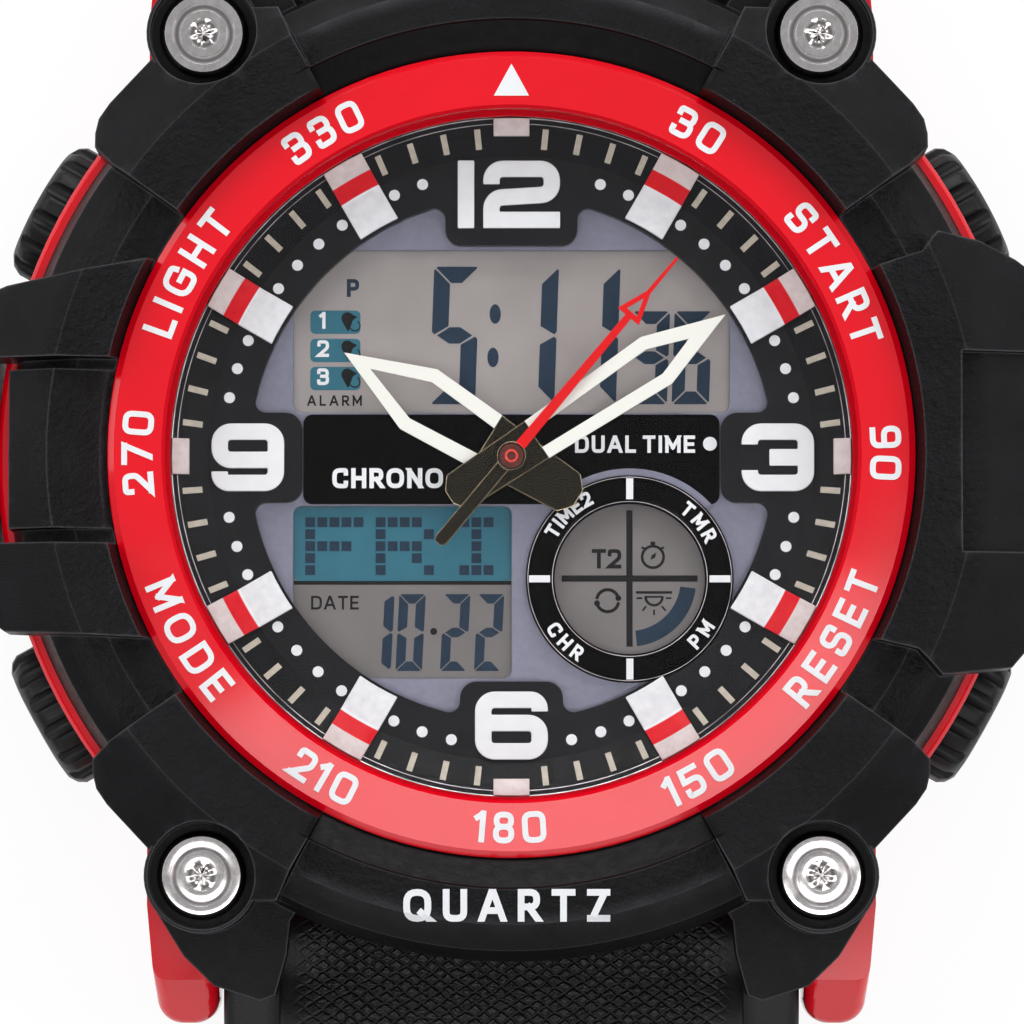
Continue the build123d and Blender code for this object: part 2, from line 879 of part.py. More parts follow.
shield = corner_shield()
tongue = lug_tongue()
panel_cut_outline = [
    (panel_inner_reach, case_top + guard_ridge_rise + cut_overrun),
    (panel_inner_reach, case_top + guard_ridge_rise - panel_depth),
    (guard_plate_radius, case_top + guard_plate_rise - panel_depth),
    (guard_plate_radius, case_top + guard_ridge_rise + cut_overrun),
]
rivet_floor = case_top + rivet_boss_rise - rivet_recess_depth

with BuildPart() as bezel_shell:
    revolve(radial_face(plain_profile), axis=Axis.Z)
    for start in (90 - band_half_angle, 270 - band_half_angle):
        revolve(radial_face(band_profile, start), axis=Axis.Z, revolution_arc=2 * band_half_angle)
    add(four_ways(shield))
    add(side_guard(guard_right_shares, guard_profile))
    add(side_guard(guard_left_upper_shares, guard_profile))
    add(side_guard(guard_left_middle_shares, guard_low_profile))
    add(side_guard(guard_left_lower_shares, guard_profile))
    with BuildSketch(Plane.XZ.offset(-panel_half_length)):
        with BuildLine():
            Polyline(*panel_cut_outline, close=True)
        make_face()
    extrude(amount=2 * panel_half_length, mode=Mode.SUBTRACT)
    add(four_ways(tongue))
    for x in (-1, 1):
        with BuildSketch(Plane.XY.offset(guard_bottom)):
            with Locations((x * (case_radius + guard_reach) / 2, 0)):
                Rectangle(guard_reach - case_radius, 2 * guard_skirt_half)
        extrude(amount=case_top - guard_bottom)
    extrude(disc_face(case_radius + seat_gap, 0), amount=case_top, mode=Mode.SUBTRACT)
    for side in (upper, lower):
        with BuildSketch(Plane.XY.offset(case_top - band_skirt_drop)):
            Circle(shell_foot_radius)
            with Locations((0, side * (strap_flat + band_skirt_gap + shell_foot_radius) / 2)):
                Rectangle(
                    2 * pad_half_width,
                    shell_foot_radius - strap_flat - band_skirt_gap,
                    mode=Mode.INTERSECT,
                )
        extrude(amount=band_skirt_drop)
    for centre in rivet_centres:
        recess_depth = shield_ridge_rise - rivet_boss_rise + rivet_recess_depth + cut_overrun
        extrude(disc_face(rivet_recess_radius, rivet_floor, centre), amount=recess_depth, mode=Mode.SUBTRACT)
        shank_hole = disc_face(rivet_shank_radius + face_gap, tongue_bottom, centre)
        extrude(shank_hole, amount=rivet_floor - tongue_bottom, mode=Mode.SUBTRACT)
        post_hole = disc_face(rivet_post_radius + face_gap, 0, centre)
        extrude(post_hole, amount=case_top, mode=Mode.SUBTRACT)
bezel_shell.part.label = "bezel_shell"
export_step(bezel_shell.part, "parts/bezel_shell.step")

# Lug screws: stepped bright heads in the corner recesses, threaded into the posts of the case
rivet_step = rivet_face_radius / 5
rivet_face_height = rivet_floor + rivet_cap_height
rivet_groove_height = rivet_face_height - rivet_cap_height / 4
rivet_outline = [
    (0, case_top - rivet_thread_depth + face_gap),
    (rivet_shank_radius, case_top - rivet_thread_depth + face_gap),
    (rivet_shank_radius, rivet_floor),
    (rivet_cap_radius, rivet_floor),
    (rivet_cap_radius, rivet_floor + rivet_cap_height / 2),
    (rivet_face_radius, rivet_face_height),
    (rivet_face_radius - rivet_step, rivet_face_height),
    (rivet_face_radius - rivet_step, rivet_groove_height),
    (rivet_face_radius - 2 * rivet_step, rivet_groove_height),
    (rivet_face_radius - 2 * rivet_step, rivet_face_height),
    (rivet_face_radius - 3 * rivet_step, rivet_face_height),
    (rivet_face_radius - 3 * rivet_step, rivet_groove_height),
    (rivet_step, rivet_groove_height),
    (0, rivet_face_height),
]
with BuildPart() as lug_screws:
    for centre in rivet_centres:
        revolve(radial_face(rivet_outline, centre=centre), axis=Axis((*centre, 0), (0, 0, 1)))
lug_screws.part.label = "lug_screws"
export_step(lug_screws.part, "parts/lug_screws.step")

# Spring bars between the lug wings, their spring tips in the wings' holes
bar_half = lug_gap_half - bar_end_gap


def spring_bar(side):
    """One spring bar with its two thinner tips."""
    with BuildPart() as bar:
        extrude(strap_disc(bar_radius, bar_reach, bar_height, side, bar_half), amount=2 * bar_half)
        tip_half = lug_gap_half + bar_tip_length
        extrude(strap_disc(bar_tip_radius, bar_reach, bar_height, side, tip_half), amount=2 * tip_half)
    return bar.part


with BuildPart() as spring_bar_upper:
    add(spring_bar(upper))
spring_bar_upper.part.label = "spring_bar_upper"
export_step(spring_bar_upper.part, "parts/spring_bar_upper.step")

with BuildPart() as spring_bar_lower:
    add(spring_bar(lower))
spring_bar_lower.part.label = "spring_bar_lower"
export_step(spring_bar_lower.part, "parts/spring_bar_lower.step")

# Pushers: ribbed round heads on stems that pass through the case wall to the module
clip_outer_face = sqrt(cavity_radius**2 - pusher_clip_radius**2) - running_gap
clip_inner_face = clip_outer_face - pusher_clip_thickness
pusher_outline = [
    (stem_reach, 0),
    (pusher_reach, 0),
    (pusher_reach, pusher_head_radius - 2 * pusher_dome_width),
    (pusher_reach - pusher_dome_drop / 4, pusher_head_radius - pusher_dome_width),
    (pusher_reach - pusher_dome_drop, pusher_head_radius - pusher_dome_width / 3),
    (pusher_reach - 2 * pusher_dome_drop, pusher_head_radius),
    (pusher_head_inner, pusher_head_radius),
    (pusher_head_inner, stem_radius),
    (clip_outer_face + seat_gap, stem_radius),
    (clip_outer_face + seat_gap, stem_groove_radius),
    (clip_inner_face - seat_gap, stem_groove_radius),
    (clip_inner_face - seat_gap, stem_radius),
    (stem_reach, stem_radius),
]
pusher_clip_outline = [
    (clip_inner_face, stem_groove_radius + seat_gap),
    (clip_outer_face, stem_groove_radius + seat_gap),
    (clip_outer_face, pusher_clip_radius),
    (clip_inner_face, pusher_clip_radius),
]
pusher_rib_depth = pusher_reach - pusher_head_inner
spring_length = pusher_head_inner - spring_bore_floor - spring_wire - 2 * seat_gap


def pusher_cross_plane(angle, reach):
    """Plane square to one pusher's axis, facing out of the case."""
    turn = radians(angle)
    return Plane(
        (reach * cos(turn), reach * sin(turn), pusher_height),
        x_dir=(-sin(turn), cos(turn), 0),
        z_dir=(cos(turn), sin(turn), 0),
    )


for name, angle in pusher_angles.items():
    with BuildPart() as pusher:
        revolve(radial_face(pusher_outline, angle, pusher_height), axis=pusher_axis(angle))
        with BuildSketch(pusher_cross_plane(angle, pusher_head_inner)):
            with PolarLocations(pusher_head_radius, pusher_rib_count):
                Circle(pusher_rib_radius)
        extrude(amount=pusher_rib_depth, mode=Mode.SUBTRACT)
    pusher.part.label = "pusher_" + name
    export_step(pusher.part, "parts/pusher_" + name + ".step")

    with BuildPart() as pusher_clip:
        revolve(radial_face(pusher_clip_outline, angle, pusher_height), axis=pusher_axis(angle))
        with BuildSketch(pusher_cross_plane(angle, clip_inner_face - seat_gap)):
            with Locations((0, -pusher_clip_radius)):
                Rectangle(2 * stem_groove_radius, 2 * pusher_clip_radius)
        extrude(amount=pusher_clip_thickness + 2 * seat_gap, mode=Mode.SUBTRACT)
    pusher_clip.part.label = "pusher_clip_" + name
    export_step(pusher_clip.part, "parts/pusher_clip_" + name + ".step")

    with BuildPart() as pusher_spring:
        start = pusher_cross_plane(angle, spring_bore_floor + spring_wire / 2 + seat_gap)
        with BuildLine():
            coil = Helix(
                spring_length / spring_turns,
                spring_length,
                spring_coil_radius,
                center=start.origin,
                direction=start.z_dir,
            )
        with BuildSketch(Plane(coil @ 0, z_dir=coil % 0)):
            Circle(spring_wire / 2)
        sweep(path=coil, is_frenet=True)
    pusher_spring.part.label = "pusher_spring_" + name
    export_step(pusher_spring.part, "parts/pusher_spring_" + name + ".step")

# Stem seals: one rubber ring around each stem, in its groove in the case wall
with BuildPart() as pusher_seals:
    for angle in pusher_angles.values():
        with BuildSketch(
            Plane(
                (seal_reach * cos(radians(angle)), seal_reach * sin(radians(angle)), pusher_height),
                x_dir=(cos(radians(angle)), sin(radians(angle)), 0),
                z_dir=(sin(radians(angle)), -cos(radians(angle)), 0),
            )
        ) as wire_section:
            with Locations((0, stem_radius + seat_gap + seal_wire_radius)):
                Circle(seal_wire_radius)
        revolve(wire_section.sketch, axis=pusher_axis(angle))
pusher_seals.part.label = "pusher_seals"
export_step(pusher_seals.part, "parts/pusher_seals.step")

# Contact springs: curved leaves on the module frame, each under the end of one stem
with BuildPart() as contact_springs:
    contact_inner = frame_radius + seat_gap
    contact_outline = [
        (contact_inner, -contact_height / 2),
        (contact_inner + contact_thickness, -contact_height / 2),
        (contact_inner + contact_thickness, contact_height / 2),
        (contact_inner, contact_height / 2),
    ]
    for angle in pusher_angles.values():
        leaf = radial_face(contact_outline, angle - contact_half_angle, pusher_height)
        revolve(leaf, axis=Axis.Z, revolution_arc=2 * contact_half_angle)
contact_springs.part.label = "contact_springs"
export_step(contact_springs.part, "parts/contact_springs.step")

# Module: frame, board, battery, buzzer, lamp and the rubber strips that join the board to the display
with BuildPart() as module_frame:
    frame_inner = frame_radius - frame_wall
    extrude(ring_face(frame_radius, frame_inner, back_thickness), amount=lcd_bottom - back_thickness)
    shelf_bottom = board_bottom - frame_shelf
    shelf = ring_face(frame_inner + frame_wall / 2, frame_inner - frame_shelf, shelf_bottom)
    extrude(shelf, amount=frame_shelf)
module_frame.part.label = "module_frame"
export_step(module_frame.part, "parts/module_frame.step")

with BuildPart() as circuit_board:
    extrude(disc_face(board_radius, board_bottom), amount=board_thickness)
    with BuildSketch(Plane.XY.offset(board_bottom - chip_height)):
        with Locations((-chip_x, chip_y), (chip_x, chip_y)):
            Rectangle(chip_side, chip_side)
    extrude(amount=chip_height)
circuit_board.part.label = "circuit_board"
export_step(circuit_board.part, "parts/circuit_board.step")

with BuildPart() as battery:
    extrude(disc_face(battery_radius, battery_bottom, (0, -battery_offset)), amount=battery_thickness)
    chamfer(battery.edges().group_by(Axis.Z)[-1], sheet_thickness)
battery.part.label = "battery"
export_step(battery.part, "parts/battery.step")

with BuildPart() as battery_clip:
    clip_half = battery_radius + sheet_thickness
    for x in (-1, 1):
        with BuildSketch(Plane.XY.offset(battery_bottom - sheet_thickness)):
            with Locations((x * (clip_half + sheet_thickness / 2), -battery_offset)):
                Rectangle(sheet_thickness, battery_clip_width)
        extrude(amount=board_bottom - battery_bottom + sheet_thickness)
    with BuildSketch(Plane.XY.offset(battery_bottom - sheet_thickness)):
        with Locations((0, -battery_offset)):
            Rectangle(2 * (clip_half + sheet_thickness), battery_clip_width)
    extrude(amount=sheet_thickness)
battery_clip.part.label = "battery_clip"
export_step(battery_clip.part, "parts/battery_clip.step")

with BuildPart() as buzzer_disc:
    extrude(disc_face(buzzer_radius, back_thickness, (0, buzzer_offset)), amount=buzzer_thickness)
    extrude(
        disc_face(buzzer_radius - frame_wall, back_thickness + buzzer_thickness, (0, buzzer_offset)),
        amount=sheet_thickness,
    )
buzzer_disc.part.label = "buzzer_disc"
export_step(buzzer_disc.part, "parts/buzzer_disc.step")

with BuildPart() as backlight_led:
    with BuildSketch(Plane.XY.offset(board_top)):
        with Locations((-led_reach, 0)):
            Rectangle(led_size, 2 * led_size)
    extrude(amount=led_size)
backlight_led.part.label = "backlight_led"
export_step(backlight_led.part, "parts/backlight_led.step")

with BuildPart() as connector_strips:
    with BuildSketch(Plane.XY.offset(board_top)):
        with Locations((0, strip_reach), (0, -strip_reach)):
            Rectangle(2 * strip_half_length, strip_width)
    extrude(amount=lcd_bottom - board_top)
connector_strips.part.label = "connector_strips"
export_step(connector_strips.part, "parts/connector_strips.step")

# Gear train: simple straight-flanked teeth, every size worked out from the module and the tooth count
tooth_tip_share = 0.85
tooth_root_share = 1.2
tooth_root_half_share = 0.34
tooth_tip_half_share = 0.12
rotor_pinion_teeth = 8
intermediate_teeth = 48
intermediate_pinion_teeth = 8
second_teeth = 40
second_pinion_teeth = 8
third_teeth = 60
third_pinion_teeth = 8
centre_teeth = 64
cannon_teeth = 12
minute_teeth = 36
minute_pinion_teeth = 10
hour_teeth = 40
intermediate_reach = 4.2
third_reach = 4.08
third_direction = 200.0
minute_reach = 3.0
minute_direction = 300.0
rotor_direction = 90.0


def gear_face(teeth, module, height, centre, tooth_at):
    """Toothed disc with one tooth centred on the direction given in degrees."""
    pitch = module * teeth / 2
    tip = pitch + tooth_tip_share * module
    root = pitch - tooth_root_share * module
    step = 2 * pi / teeth
    points = []
    for tooth in range(teeth):
        middle = radians(tooth_at) + tooth * step
        for radius, share in (
            (root, -tooth_root_half_share),
            (tip, -tooth_tip_half_share),
            (tip, tooth_tip_half_share),
            (root, tooth_root_half_share),
        ):
            turn = middle + share * step
            points.append((centre[0] + radius * cos(turn), centre[1] + radius * sin(turn)))
    return plan_face(points, height)


def polar(reach, direction):
    """Place seen from above, from its distance and direction about the watch's centre."""
    return (reach * cos(radians(direction)), reach * sin(radians(direction)))


def facing_gap(direction, teeth):
    """Direction of a tooth beside the gap that faces back along a line of centres."""
    return direction + 180 + 180 / teeth


rotor_at = polar(rotor_reach, rotor_direction)
intermediate_at = polar(intermediate_reach, rotor_direction)
third_at = polar(third_reach, third_direction)
minute_at = polar(minute_reach, minute_direction)
rotor_module = 2 * (rotor_reach - intermediate_reach) / (rotor_pinion_teeth + intermediate_teeth)
intermediate_module = 2 * intermediate_reach / (intermediate_pinion_teeth + second_teeth)
second_module = 2 * third_reach / (second_pinion_teeth + third_teeth)
third_module = 2 * third_reach / (third_pinion_teeth + centre_teeth)
cannon_module = 2 * minute_reach / (cannon_teeth + minute_teeth)
hour_module = 2 * minute_reach / (minute_pinion_teeth + hour_teeth)
pivot_low = board_top + running_gap
pivot_high = bridge_top - running_gap
arbor_low = plate_top + running_gap
arbor_high = bridge_bottom - running_gap


def pivoted_arbor(centre):
    """Slim arbor between the movement plate and the bridge, with a thinner pivot at each end."""
    with BuildPart() as arbor:
        extrude(disc_face(pivot_radius, pivot_low, centre), amount=pivot_high - pivot_low)
        extrude(disc_face(arbor_radius, arbor_low, centre), amount=arbor_high - arbor_low)
    return arbor.part


with BuildPart() as rotor:
    add(pivoted_arbor(rotor_at))
    pinion = gear_face(rotor_pinion_teeth, rotor_module, layer_1, rotor_at, rotor_direction + 180)
    extrude(pinion, amount=wheel_thickness)
    extrude(disc_face(rotor_magnet_radius, layer_2, rotor_at), amount=rotor_magnet_height)
rotor.part.label = "rotor"
export_step(rotor.part, "parts/rotor.step")

with BuildPart() as intermediate_wheel:
    add(pivoted_arbor(intermediate_at))
    tooth = facing_gap(rotor_direction + 180, intermediate_teeth)
    wheel = gear_face(intermediate_teeth, rotor_module, layer_1, intermediate_at, tooth)
    extrude(wheel, amount=wheel_thickness)
    tooth = rotor_direction + 180
    pinion = gear_face(intermediate_pinion_teeth, intermediate_module, layer_2, intermediate_at, tooth)
    extrude(pinion, amount=wheel_thickness)
intermediate_wheel.part.label = "intermediate_wheel"
export_step(intermediate_wheel.part, "parts/intermediate_wheel.step")

hour_hand_bottom = dial_top + hour_hand_rise
minute_hand_bottom = dial_top + minute_hand_rise
second_hand_bottom = dial_top + second_hand_rise
with BuildPart() as second_wheel:
    extrude(disc_face(pivot_radius, pivot_low), amount=layer_2 - pivot_low)
    arbor_length = second_hand_bottom + hand_thickness + second_boss_height - layer_2
    extrude(disc_face(second_arbor_radius, layer_2), amount=arbor_length)
    tooth = facing_gap(rotor_direction + 180, second_teeth)
    extrude(gear_face(second_teeth, intermediate_module, layer_2, (0, 0), tooth), amount=wheel_thickness)
    pinion = gear_face(second_pinion_teeth, second_module, layer_3, (0, 0), third_direction)
    extrude(pinion, amount=wheel_thickness)
second_wheel.part.label = "second_wheel"
export_step(second_wheel.part, "parts/second_wheel.step")

with BuildPart() as third_wheel:
    add(pivoted_arbor(third_at))
    tooth = facing_gap(third_direction, third_teeth)
    extrude(gear_face(third_teeth, second_module, layer_3, third_at, tooth), amount=wheel_thickness)
    pinion = gear_face(third_pinion_teeth, third_module, layer_4, third_at, third_direction + 180)
    extrude(pinion, amount=wheel_thickness)
third_wheel.part.label = "third_wheel"
export_step(third_wheel.part, "parts/third_wheel.step")

with BuildPart() as center_wheel:
    tooth = facing_gap(third_direction + 180, centre_teeth)
    extrude(gear_face(centre_teeth, third_module, layer_4, (0, 0), tooth), amount=wheel_thickness)
    extrude(gear_face(cannon_teeth, cannon_module, layer_5, (0, 0), minute_direction), amount=wheel_thickness)
    tube_length = minute_hand_bottom + hand_thickness - layer_4
    extrude(disc_face(minute_tube_radius, layer_4), amount=tube_length)
    extrude(disc_face(minute_bore_radius, layer_4), amount=tube_length, mode=Mode.SUBTRACT)
center_wheel.part.label = "center_wheel"
export_step(center_wheel.part, "parts/center_wheel.step")

with BuildPart() as minute_wheel:
    tooth = facing_gap(minute_direction, minute_teeth)
    extrude(gear_face(minute_teeth, cannon_module, layer_5, minute_at, tooth), amount=wheel_thickness)
    tooth = minute_direction + 180
    pinion = gear_face(minute_pinion_teeth, hour_module, layer_6, minute_at, tooth)
    extrude(pinion, amount=wheel_thickness)
    extrude(disc_face(arbor_radius + layer_gap, layer_5, minute_at), amount=layer_step)
    stud_bore = disc_face(arbor_radius + running_gap, layer_5, minute_at)
    extrude(stud_bore, amount=2 * layer_step, mode=Mode.SUBTRACT)
minute_wheel.part.label = "minute_wheel"
export_step(minute_wheel.part, "parts/minute_wheel.step")

with BuildPart() as hour_wheel:
    tooth = facing_gap(minute_direction + 180, hour_teeth)
    extrude(gear_face(hour_teeth, hour_module, layer_6, (0, 0), tooth), amount=wheel_thickness)
    tube_length = hour_hand_bottom + hand_thickness - layer_6
    extrude(disc_face(hour_tube_radius, layer_6), amount=tube_length)
    extrude(disc_face(hour_bore_radius, layer_6), amount=tube_length, mode=Mode.SUBTRACT)
hour_wheel.part.label = "hour_wheel"
export_step(hour_wheel.part, "parts/hour_wheel.step")

# Movement plate and train bridge, with the holes for the pivots
pivot_places = [rotor_at, intermediate_at, third_at]
stator_arm_middle = stator_half_length - stator_arm_width / 2
stator_post_places = [(x * stator_arm_middle, stator_arm_reach - coil_core_width) for x in (-1, 1)]
with BuildPart() as movement_plate:
    extrude(disc_face(plate_radius, board_top), amount=plate_thickness)
    for place in stator_post_places:
        extrude(disc_face(bridge_post_radius, plate_top, place), amount=layer_2 - plate_top)
    for place in pivot_places + [(0, 0)]:
        hole = disc_face(pivot_radius + pivot_gap, board_top, place)
        extrude(hole, amount=plate_thickness, mode=Mode.SUBTRACT)
movement_plate.part.label = "movement_plate"
export_step(movement_plate.part, "parts/movement_plate.step")

with BuildPart() as train_bridge:
    extrude(disc_face(bridge_radius, bridge_bottom), amount=bridge_thickness)
    with BuildSketch(Plane.XY.offset(plate_top)):
        with PolarLocations(bridge_post_circle, bridge_post_count, start_angle=30):
            Circle(bridge_post_radius)
    extrude(amount=bridge_bottom - plate_top)
    extrude(disc_face(arbor_radius, bridge_top, minute_at), amount=lcd_bottom - running_gap - bridge_top)
    for place in pivot_places:
        hole = disc_face(pivot_radius + pivot_gap, bridge_bottom, place)
        extrude(hole, amount=bridge_thickness, mode=Mode.SUBTRACT)
    tube_hole = disc_face(minute_tube_radius + running_gap, bridge_bottom)
    extrude(tube_hole, amount=bridge_thickness, mode=Mode.SUBTRACT)
train_bridge.part.label = "train_bridge"
export_step(train_bridge.part, "parts/train_bridge.step")

# Stepping motor: stator plate around the rotor's magnet, and the coil across its arms
with BuildPart() as stator:
    with BuildSketch(Plane.XY.offset(layer_2)):
        with Locations(rotor_at):
            Rectangle(2 * stator_half_length, 2 * stator_limb_half)
        for x in (-1, 1):
            with Locations((x * stator_arm_middle, (rotor_reach + stator_arm_reach) / 2)):
                Rectangle(stator_arm_width, stator_arm_reach - rotor_reach)
        with Locations(rotor_at):
            Circle(stator_hole_radius, mode=Mode.SUBTRACT)
    extrude(amount=stator_thickness)
stator.part.label = "stator"
export_step(stator.part, "parts/stator.step")

with BuildPart() as coil:
    coil_reach = stator_arm_reach - coil_core_width
    core_bottom = layer_2 + stator_thickness
    with BuildSketch(Plane.XY.offset(core_bottom)):
        with Locations((0, coil_reach)):
            Rectangle(2 * stator_half_length, coil_core_width)
    extrude(amount=stator_thickness)
    winding_height = core_bottom + stator_thickness / 2
    winding = strap_disc(coil_radius, coil_reach, winding_height, upper, coil_half_length)
    extrude(winding, amount=2 * coil_half_length)
coil.part.label = "coil"
export_step(coil.part, "parts/coil.step")

# Display and dial
with BuildPart() as lcd_panel:
    extrude(ring_face(lcd_radius, hand_hole_radius, lcd_bottom), amount=lcd_thickness)
lcd_panel.part.label = "lcd_panel"
export_step(lcd_panel.part, "parts/lcd_panel.step")

with BuildPart() as dial_plate:
    extrude(ring_face(dial_radius, hand_hole_radius, lcd_top), amount=dial_thickness)
    with BuildSketch(Plane.XY.offset(lcd_top)):
        window_low = crossbar_top + window_crossbar_gap
        with Locations((0, (window_top + window_low) / 2)):
            RectangleRounded(2 * window_side, window_top - window_low, window_corner)
        window_high = crossbar_foot + window_crossbar_gap
        with Locations((-window_side / 2, -(window_foot + window_high) / 2)):
            RectangleRounded(window_side, window_foot - window_high, window_corner)
        with Locations((subdial_x, -subdial_y)):
            Circle(subdial_inner_radius)
    extrude(amount=dial_thickness, mode=Mode.SUBTRACT)
dial_plate.part.label = "dial_plate"
export_step(dial_plate.part, "parts/dial_plate.step")

with BuildPart() as dial_crossbar:
    with BuildSketch(Plane.XY.offset(dial_top)):
        with Locations((0, (crossbar_top - crossbar_foot) / 2)):
            RectangleRounded(2 * crossbar_half_length, crossbar_top + crossbar_foot, window_corner)
        Circle(hand_hole_radius, mode=Mode.SUBTRACT)
        with Locations((subdial_x, -subdial_y)):
            Circle(subdial_outer_radius + seat_gap, mode=Mode.SUBTRACT)
    extrude(amount=crossbar_thickness)
dial_crossbar.part.label = "dial_crossbar"
export_step(dial_crossbar.part, "parts/dial_crossbar.step")

with BuildPart() as subdial_ring:
    subdial_outline = [
        (subdial_inner_radius, dial_top),
        (subdial_outer_radius, dial_top),
        (subdial_outer_radius, dial_top + subdial_thickness - subdial_edge),
        (subdial_outer_radius - subdial_edge, dial_top + subdial_thickness),
        (subdial_inner_radius + subdial_edge, dial_top + subdial_thickness),
        (subdial_inner_radius, dial_top + subdial_thickness - subdial_edge),
    ]
    subdial_section = radial_face(subdial_outline, 0, 0, (subdial_x, -subdial_y))
    revolve(subdial_section, axis=Axis((subdial_x, -subdial_y, 0), (0, 0, 1)))
subdial_ring.part.label = "subdial_ring"
export_step(subdial_ring.part, "parts/subdial_ring.step")

# Chapter ring: flat ring with a tab under each of the four numerals, and the slope up to the crystal
with BuildPart() as chapter_ring:
    with BuildSketch(Plane.XY.offset(dial_top)) as flat_outline:
        Circle(chapter_flat_radius)
        Circle(chapter_inner_radius, mode=Mode.SUBTRACT)
        with Locations((0, (tab_top_reach + chapter_inner_radius + tab_corner) / 2)):
            Rectangle(2 * tab_top_half, chapter_inner_radius + tab_corner - tab_top_reach)
        with Locations((0, -(tab_foot_reach + chapter_inner_radius + tab_corner) / 2)):
            Rectangle(2 * tab_foot_half, chapter_inner_radius + tab_corner - tab_foot_reach)
        for x in (-1, 1):
            with Locations((x * (tab_side_reach + chapter_inner_radius + tab_corner) / 2, 0)):
                Rectangle(chapter_inner_radius + tab_corner - tab_side_reach, 2 * tab_side_half)
        tab_roots = [
            corner
            for corner in flat_outline.vertices()
            if abs(hypot(corner.X, corner.Y) - chapter_inner_radius) < seat_gap
        ]
        fillet(tab_roots, tab_root_corner)
        tab_ends = [
            corner
            for corner in flat_outline.vertices()
            if hypot(corner.X, corner.Y) < (tab_foot_reach + chapter_inner_radius) / 2
        ]
        fillet(tab_ends, tab_corner)
        with Locations((subdial_x, -subdial_y)):
            Circle(subdial_outer_radius + seat_gap, mode=Mode.SUBTRACT)
    extrude(amount=chapter_flat_rise)
    slope_outline = [
        (chapter_flat_radius, dial_top),
        (chapter_flat_radius, chapter_flat),
        (ledge_radius, cavity_top),
        (dial_radius, cavity_top),
        (dial_radius, dial_top),
    ]
    revolve(radial_face(slope_outline), axis=Axis.Z)
chapter_ring.part.label = "chapter_ring"
export_step(chapter_ring.part, "parts/chapter_ring.step")

# Hour markers: bars that lie on the flat and bend up along the slope, shorter ones behind the numerals
marker_outer_radius = ledge_radius - marker_edge_gap
marker_slope = (cavity_top - chapter_flat) / (ledge_radius - chapter_flat_radius)
marker_end_height = chapter_flat + marker_slope * (marker_outer_radius - chapter_flat_radius)
marker_bend_radius = chapter_flat_radius - marker_thickness * marker_slope / 2
marker_outline = [
    (marker_inner_radius, chapter_flat),
    (chapter_flat_radius, chapter_flat),
    (marker_outer_radius, marker_end_height),
    (marker_outer_radius, marker_end_height + marker_thickness),
    (marker_bend_radius, chapter_flat + marker_thickness),
    (marker_inner_radius, chapter_flat + marker_thickness),
]
with BuildPart() as hour_markers:
    revolve(radial_face(marker_outline), axis=Axis.Z)
    with BuildSketch(Plane.XY.offset(chapter_flat)):
        for hour in (1, 2, 4, 5, 7, 8, 10, 11):
            with PolarLocations((marker_inner_radius + ledge_radius) / 2, 1, start_angle=30 * hour):
                Rectangle(ledge_radius - marker_inner_radius + marker_width, marker_width)
        for hour in (0, 3, 6, 9):
            with PolarLocations((quarter_mark_inner_radius + ledge_radius) / 2, 1, start_angle=30 * hour):
                Rectangle(ledge_radius - quarter_mark_inner_radius, quarter_mark_span)
    extrude(amount=cavity_top + marker_thickness - chapter_flat, mode=Mode.INTERSECT)
hour_markers.part.label = "hour_markers"
export_step(hour_markers.part, "parts/hour_markers.step")

# Hour numerals: rounded square strokes drawn as shares of half the width and half the height
stroke_radius = numeral_stroke / 2
across_unit = numeral_half_width - stroke_radius
along_unit = numeral_height / 2 - stroke_radius
six_centre = (0, -numeral_foot_reach)
nine_centre = (-numeral_left_reach, 0)
three_centre = (numeral_right_reach, 0)
two_centre = (two_shift, numeral_top_reach)
six_shares = [(1, 0.55), (1, 1), (-1, 1), (-1, -1), (1, -1), (1, -0.45)]
six_loop_shares = [(1, -0.5), (1, 0.1), (-0.9, 0.1)]
three_shares = [(-1, 0.5), (-1, 1), (1, 1), (1, -1), (-1, -1), (-1, -0.5)]
three_bar_shares = [(-0.3, 0), (1, 0)]
two_shares = [(-1, 0.4), (-1, 1), (1, 1), (1, 0), (-1, -0.14), (-1, -1)]
two_foot_shares = [(-1, -1), (1, -1)]


def numeral_points(shares, centre, across, turn=1):
    """Points of a numeral's middle line; a turn of -1 gives the numeral upside down."""
    points = []
    for x, y in shares:
        points.append((centre[0] + turn * x * across, centre[1] + turn * y * along_unit))
    return points


def stroke(points, first_corner=numeral_corner):
    """Stroke of even width along a line of points with rounded corners."""
    with BuildSketch(Plane.XY.offset(chapter_flat)) as line:
        with BuildLine():
            if len(points) > 2:
                corners = [first_corner] + (len(points) - 3) * [numeral_corner]
                FilletPolyline(*points, radius=corners)
            else:
                Line(*points)
        trace(line_width=numeral_stroke)
    return line.sketch


with BuildPart() as hour_numerals:
    for centre, turn in ((six_centre, 1), (nine_centre, -1)):
        points = numeral_points(six_shares, centre, across_unit, turn)
        extrude(stroke(points, numeral_end_corner), amount=numeral_thickness)
        points = numeral_points(six_loop_shares, centre, across_unit, turn)
        extrude(stroke(points), amount=numeral_thickness)
    for shares in (three_shares, three_bar_shares):
        extrude(stroke(numeral_points(shares, three_centre, across_unit)), amount=numeral_thickness)
    two_points = numeral_points(two_shares, two_centre, two_half_width - stroke_radius)
    extrude(stroke(two_points), amount=numeral_thickness)
    extrude(stroke(numeral_points(two_foot_shares, two_centre, two_half_width)), amount=numeral_thickness)
    with BuildSketch(Plane.XY.offset(chapter_flat)):
        with Locations((-one_reach, numeral_top_reach)):
            Rectangle(numeral_stroke, numeral_height)
    extrude(amount=numeral_thickness)
hour_numerals.part.label = "hour_numerals"
export_step(hour_numerals.part, "parts/hour_numerals.step")

# Hands: each drawn along its own direction, with the opening that shows the dial through it


